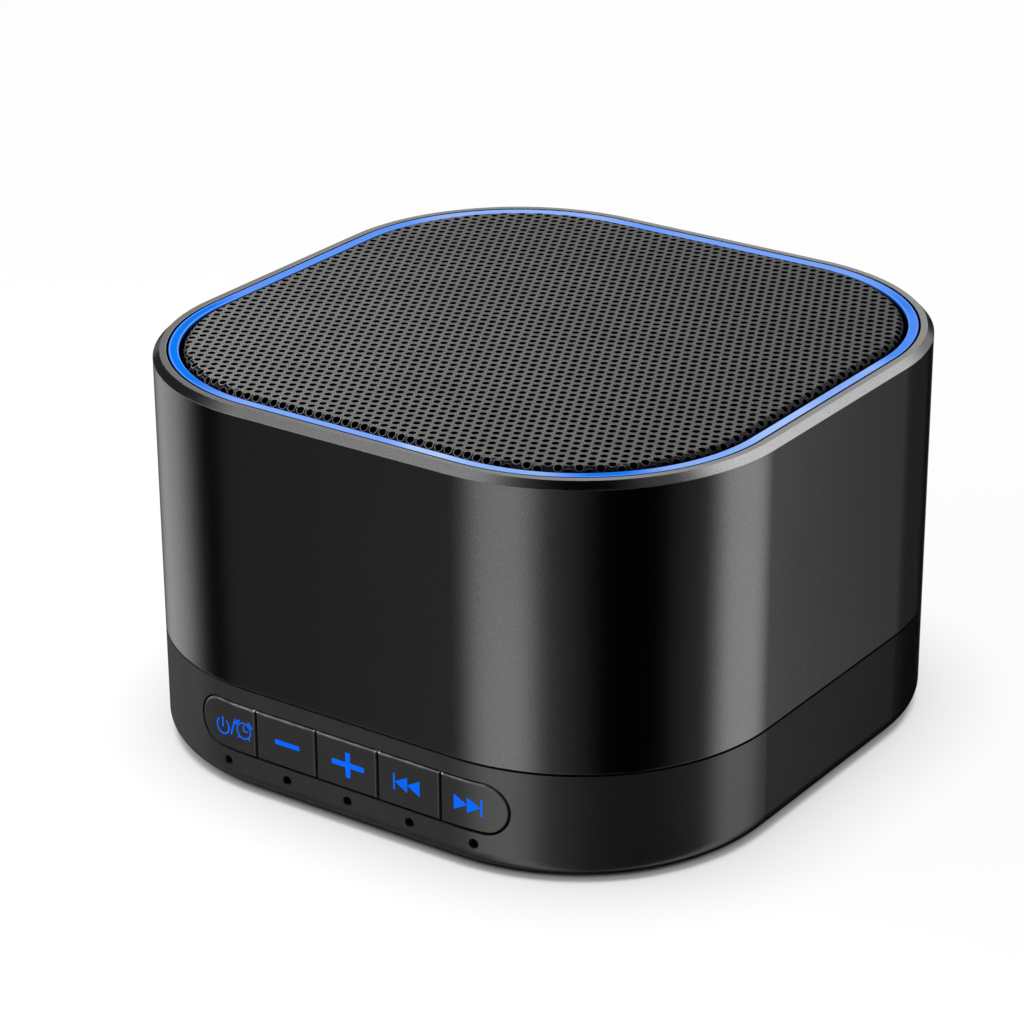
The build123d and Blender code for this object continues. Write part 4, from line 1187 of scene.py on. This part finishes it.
def azimuth_of(recipe, x, y):
    return recipe.math("DEGREES", recipe.math("ARCTAN2", x, recipe.times(y, -1.0)))


def panel_light(recipe, azimuth, panels):
    """The brightness of a ring of panels at an azimuth."""
    total = 0.0
    for middle, half, edge, level in panels.values():
        wrapped = recipe.math("WRAP", recipe.minus(azimuth, middle), 180.0, -180.0)
        off = recipe.math("ABSOLUTE", wrapped)
        total = recipe.plus(total, recipe.smooth(off, half - edge / 2, half + edge / 2, level, 0.0))
    return total


def tent_material():
    """Glow of the soft boxes, by direction from the object."""
    material = bpy.data.materials.new("soft_boxes_and_flags")
    recipe = empty_recipe(material)
    x, y, z = recipe.split(recipe.object_place())
    azimuth = azimuth_of(recipe, x, y)
    rise = recipe.over(z, settings("stage").tent_radius)
    low_band = recipe.smooth(rise, -0.05, 0.05, 1.0, 0.0)
    high_band = recipe.times(recipe.smooth(rise, 0.05, 0.15), recipe.smooth(rise, 0.9, 0.97, 1.0, 0.0))
    low = recipe.times(panel_light(recipe, azimuth, LOW_PANELS), low_band)
    high = recipe.times(panel_light(recipe, azimuth, HIGH_PANELS), high_band)
    glow = recipe.first("ShaderNodeEmission", {"Strength": recipe.plus(low, high)})
    recipe.add("ShaderNodeOutputMaterial", {"Surface": glow})
    material.cycles.emission_sampling = "NONE"
    return material


def make_tent():
    shape = bmesh.new()
    bmesh.ops.create_uvsphere(shape, u_segments=64, v_segments=32, radius=settings("stage").tent_radius)
    tent = drawn_piece("reflection_tent", shape, tent_material())
    tent.visible_camera = tent.visible_diffuse = tent.visible_shadow = tent.visible_transmission = False


def seen_rays(recipe, path):
    """1 for camera, glossy and transmission rays, which see the background as it is."""
    some = recipe.math("MAXIMUM", path["Is Camera Ray"], path["Is Glossy Ray"])
    return recipe.math("MAXIMUM", some, path["Is Transmission Ray"])


def contact_shade(recipe, open_sky):
    """The floor's glow where the sky above it is this open."""
    ramp = recipe.add("ShaderNodeValToRGB", {"Fac": open_sky})
    stops = ramp.color_ramp.elements
    for place, _ in CONTACT_SHADE[2:]:
        stops.new(place)
    for stop, (place, level) in zip(stops, CONTACT_SHADE):
        stop.position, stop.color = place, (level, level, level, 1.0)
    return ramp.outputs["Color"]


def floor_material():
    """White with the object's soft shadow. From below it is clear; in gloss only its contact shade shows."""
    stage = settings("stage")
    material = bpy.data.materials.new("pale_floor")
    recipe = empty_recipe(material)
    path = recipe.add("ShaderNodeLightPath").outputs
    sky = recipe.add("ShaderNodeAmbientOcclusion", {"Distance": stage.shade_reach}, samples=16).outputs["AO"]
    lit = recipe.first("ShaderNodeBsdfDiffuse", {"Color": opaque((stage.floor_white,) * 3)})
    glow = recipe.first(
        "ShaderNodeEmission", {"Color": contact_shade(recipe, sky), "Strength": stage.floor_glow}
    )
    shown = recipe.first("ShaderNodeAddShader", {0: lit, 1: glow})
    bounce = recipe.first("ShaderNodeBsdfDiffuse", {"Color": (0.8, 0.8, 0.8, 1.0)})
    above = recipe.mix_shader(seen_rays(recipe, path), bounce, shown)
    clear = recipe.first("ShaderNodeBsdfTransparent")
    unseen = recipe.first("ShaderNodeMixShader", {0: recipe.smooth(sky, 0.3, 0.5), 2: clear})
    above = recipe.mix_shader(path["Is Glossy Ray"], above, unseen)
    crossed = recipe.math("GREATER_THAN", path["Transparent Depth"], 0.5)
    below = recipe.math("MAXIMUM", recipe.add("ShaderNodeNewGeometry").outputs["Backfacing"], crossed)
    recipe.add("ShaderNodeOutputMaterial", {"Surface": recipe.mix_shader(below, above, clear)})
    return material


def make_floor():
    half, low = settings("stage").floor_size / 2, -settings("stage").floor_drop
    mesh = bpy.data.meshes.new("floor")
    corners = [(-half, -half, low), (half, -half, low), (half, half, low), (-half, half, low)]
    mesh.from_pydata(corners, [], [(0, 1, 2, 3)])
    mesh.materials.append(floor_material())
    new_piece("floor", mesh)


def make_world():
    """A white background, and a dimmer white light from all round on matt surfaces."""
    world = bpy.data.worlds.new("white_room")
    bpy.context.scene.world = world
    recipe = empty_recipe(world)
    ambient, backdrop = [
        recipe.first("ShaderNodeBackground", {"Color": (1.0, 1.0, 1.0, 1.0), "Strength": strength})
        for strength in (settings("stage").ambient, 1.0)
    ]
    seen = seen_rays(recipe, recipe.add("ShaderNodeLightPath").outputs)
    recipe.add("ShaderNodeOutputWorld", {"Surface": recipe.mix_shader(seen, ambient, backdrop)})


def area_lamp(name, place, target, side, power):
    """A square soft box that faces a target."""
    data = bpy.data.lights.new(name, "AREA")
    data.shape = "SQUARE"
    data.size = side
    data.energy = power
    lamp = bpy.data.objects.new(name, data)
    bpy.context.scene.collection.objects.link(lamp)
    lamp.location = place
    lamp.rotation_euler = (Vector(target) - Vector(place)).to_track_quat("-Z", "Y").to_euler()
    lamp.visible_glossy = False


def make_camera():
    stage = settings("stage")
    azimuth, elevation, roll = stage.view_azimuth, stage.view_elevation, stage.view_roll
    back = Vector((sin(azimuth) * cos(elevation), -cos(azimuth) * cos(elevation), sin(elevation)))
    level_right = Vector((cos(azimuth), sin(azimuth), 0.0))
    level_up = back.cross(level_right)
    right = level_right * cos(roll) + level_up * sin(roll)
    up = level_up * cos(roll) - level_right * sin(roll)
    camera = bpy.data.objects.new("camera", bpy.data.cameras.new("camera"))
    bpy.context.scene.collection.objects.link(camera)
    camera.data.lens = stage.lens
    camera.data.clip_start, camera.data.clip_end = 0.01, 20.0
    middle = Vector((0.0, 0.0, stage.aim_height))
    place = middle + back * stage.view_distance + right * stage.aim_right + up * stage.aim_up
    camera.matrix_world = Matrix.Translation(place) @ Matrix((right, up, back)).transposed().to_4x4()
    bpy.context.scene.camera = camera


# ---------------------------------------------------------------- operators
class SOUND_OT_stage(Operator):
    """Makes the camera, the white room, the floor, the soft boxes round the object and the lamp"""

    bl_idname = "sound.stage"
    bl_label = "Stage"

    def execute(self, context):
        stage = settings("stage")
        context.scene.view_settings.view_transform = "Standard"
        make_camera()
        make_world()
        make_floor()
        make_tent()
        place = (-stage.lamp_left, -stage.lamp_front, stage.lamp_height)
        area_lamp("key_soft_box", place, (0.0, 0.0, stage.aim_height), stage.lamp_size, stage.lamp_power)
        return {"FINISHED"}


class SOUND_OT_finishes(Operator):
    """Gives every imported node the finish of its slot"""

    bl_idname = "sound.finishes"
    bl_label = "Finishes"

    def execute(self, context):
        dress_nodes({**outer_finishes(), **speaker_finishes(), **board_finishes()})
        undressed = [
            name for name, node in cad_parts.items()
            if name != "light_ring" and not node.material_slots[0].material.name.startswith("finish_")
        ]
        if undressed:
            raise RuntimeError(f"no finish for {undressed}")
        return {"FINISHED"}


class SOUND_OT_sleeve(Operator):
    """Makes the metal sleeve with its bevelled rim"""

    bl_idname = "sound.sleeve"
    bl_label = "Sleeve"

    def execute(self, context):
        piece = swept_piece("metal_sleeve", sleeve_profile(), bpy.data.materials["finish_sleeve_metal"])
        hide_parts("sleeve")
        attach(piece, "case")
        return {"FINISHED"}


class SOUND_OT_light_ring(Operator):
    """Makes the lit ring between the rim and the grille"""

    bl_idname = "sound.light_ring"
    bl_label = "Light ring"

    def execute(self, context):
        glow = ring_material("finish_ring_diffuser")
        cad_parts["light_ring"].material_slots[0].material = glow
        piece = swept_piece("lit_ring", ring_profile(), glow)
        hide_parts("light_ring")
        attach(piece, "case")
        return {"FINISHED"}


class SOUND_OT_grille(Operator):
    """Punches and bends the perforated grille"""

    bl_idname = "sound.grille"
    bl_label = "Grille"

    def execute(self, context):
        sizes = settings("grille")
        core = HALF - settings("shell").corner_radius
        piece = run_tree(
            new_piece("perforated_grille"), grille_tree(),
            {
                "Core": core,
                "Flat Radius": GRILLE_HIGH.x - core - sizes.bend_radius,
                "Bend Radius": sizes.bend_radius,
                "Skirt": GRILLE_HIGH.z - GRILLE_LOW.z - sizes.bend_radius,
                "Sheet": sizes.sheet,
                "Top": GRILLE_HIGH.z,
                "Hole Radius": sizes.hole_radius,
                "Hole Sides": sizes.hole_sides,
                "Pitch": sizes.pitch,
                "Row Pitch": sizes.row_pitch,
                "Start": (sizes.column_offset, sizes.row_offset, 0.0),
                "Plain Edge": sizes.plain_edge,
                "Finish": bpy.data.materials["finish_grille_metal"],
                "Hole Finish": finish("hole_walls", SHADED_HOLE_WALLS),
            },
        )
        if not piece.data.polygons:
            raise RuntimeError("the grille came out empty")
        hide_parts("grille")
        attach(piece, "case")
        return {"FINISHED"}


class SOUND_OT_symbols(Operator):
    """Prints the symbols on the five keys"""

    bl_idname = "sound.symbols"
    bl_label = "Key symbols"

    def execute(self, context):
        ink = ink_material("finish_key_symbols")
        level = KEY_MIDDLE_Z
        power_x, slash_x, clock_x = -22.85 * MM, -20.75 * MM, -18.7 * MM
        previous_x, next_x = 10.57 * MM, 21.07 * MM
        sign_shift = 0.25 * MM  # the minus and plus signs stand a little right of their keys' middles
        minus_x, plus_x = [key_centre(name) + sign_shift for name in ("minus_key", "plus_key")]
        lean, rise = 0.45 * MM, 1.35 * MM
        slash = line(
            (slash_x - lean, level - rise), (slash_x + lean, level + rise), settings("symbols").stroke
        )
        for name, body, strokes in (
            ("power_symbol", "power_button", power_strokes((power_x, level - 0.5 * MM))),
            ("divider_symbol", "power_button", [slash]),
            ("clock_symbol", "power_button", clock_strokes((clock_x, level - 0.1 * MM))),
            ("minus_symbol", "minus_button", minus_strokes((minus_x, level))),
            ("plus_symbol", "plus_button", plus_strokes((plus_x, level))),
            ("previous_symbol", "previous_button", skip_strokes((previous_x, level), -1)),
            ("next_symbol", "next_button", skip_strokes((next_x, level), 1)),
        ):
            symbol(name, body, strokes, ink)
        return {"FINISHED"}


def key_centre(name):
    low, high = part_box(name)
    return (low.x + high.x) / 2


class SOUND_PT_panel(Panel):
    """Lists the pieces of the sound machine"""

    bl_label = "Sound Machine"
    bl_idname = "SOUND_PT_panel"
    bl_space_type = "VIEW_3D"
    bl_region_type = "UI"
    bl_category = "Sound Machine"

    def draw(self, context):
        for operator in OPERATORS:
            self.layout.operator(operator.bl_idname)
        for name in GROUPS:
            box = self.layout.box()
            box.label(text=name.capitalize())
            for key in GROUPS[name].__annotations__:
                box.prop(settings(name), key)


GROUPS = {
    "shell": ShellSizes, "grille": GrilleSizes, "symbols": SymbolSizes, "light": LightColours,
    "colours": FinishColours, "stage": StageSettings,
}
OPERATORS = (
    SOUND_OT_stage, SOUND_OT_finishes, SOUND_OT_sleeve, SOUND_OT_light_ring, SOUND_OT_grille,
    SOUND_OT_symbols,
)


def register():
    for cls in (*GROUPS.values(), *OPERATORS, SOUND_PT_panel):
        bpy.utils.register_class(cls)
    for name, cls in GROUPS.items():
        setattr(bpy.types.Scene, "sound_machine_" + name, PointerProperty(type=cls))


def unregister():
    for name in GROUPS:
        delattr(bpy.types.Scene, "sound_machine_" + name)
    for cls in reversed((*GROUPS.values(), *OPERATORS, SOUND_PT_panel)):
        bpy.utils.unregister_class(cls)


def main():
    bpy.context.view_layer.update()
    register()
    bpy.ops.sound.stage()
    bpy.ops.sound.finishes()
    bpy.ops.sound.sleeve()
    bpy.ops.sound.light_ring()
    bpy.ops.sound.grille()
    bpy.ops.sound.symbols()


if __name__ == "__main__":
    main()
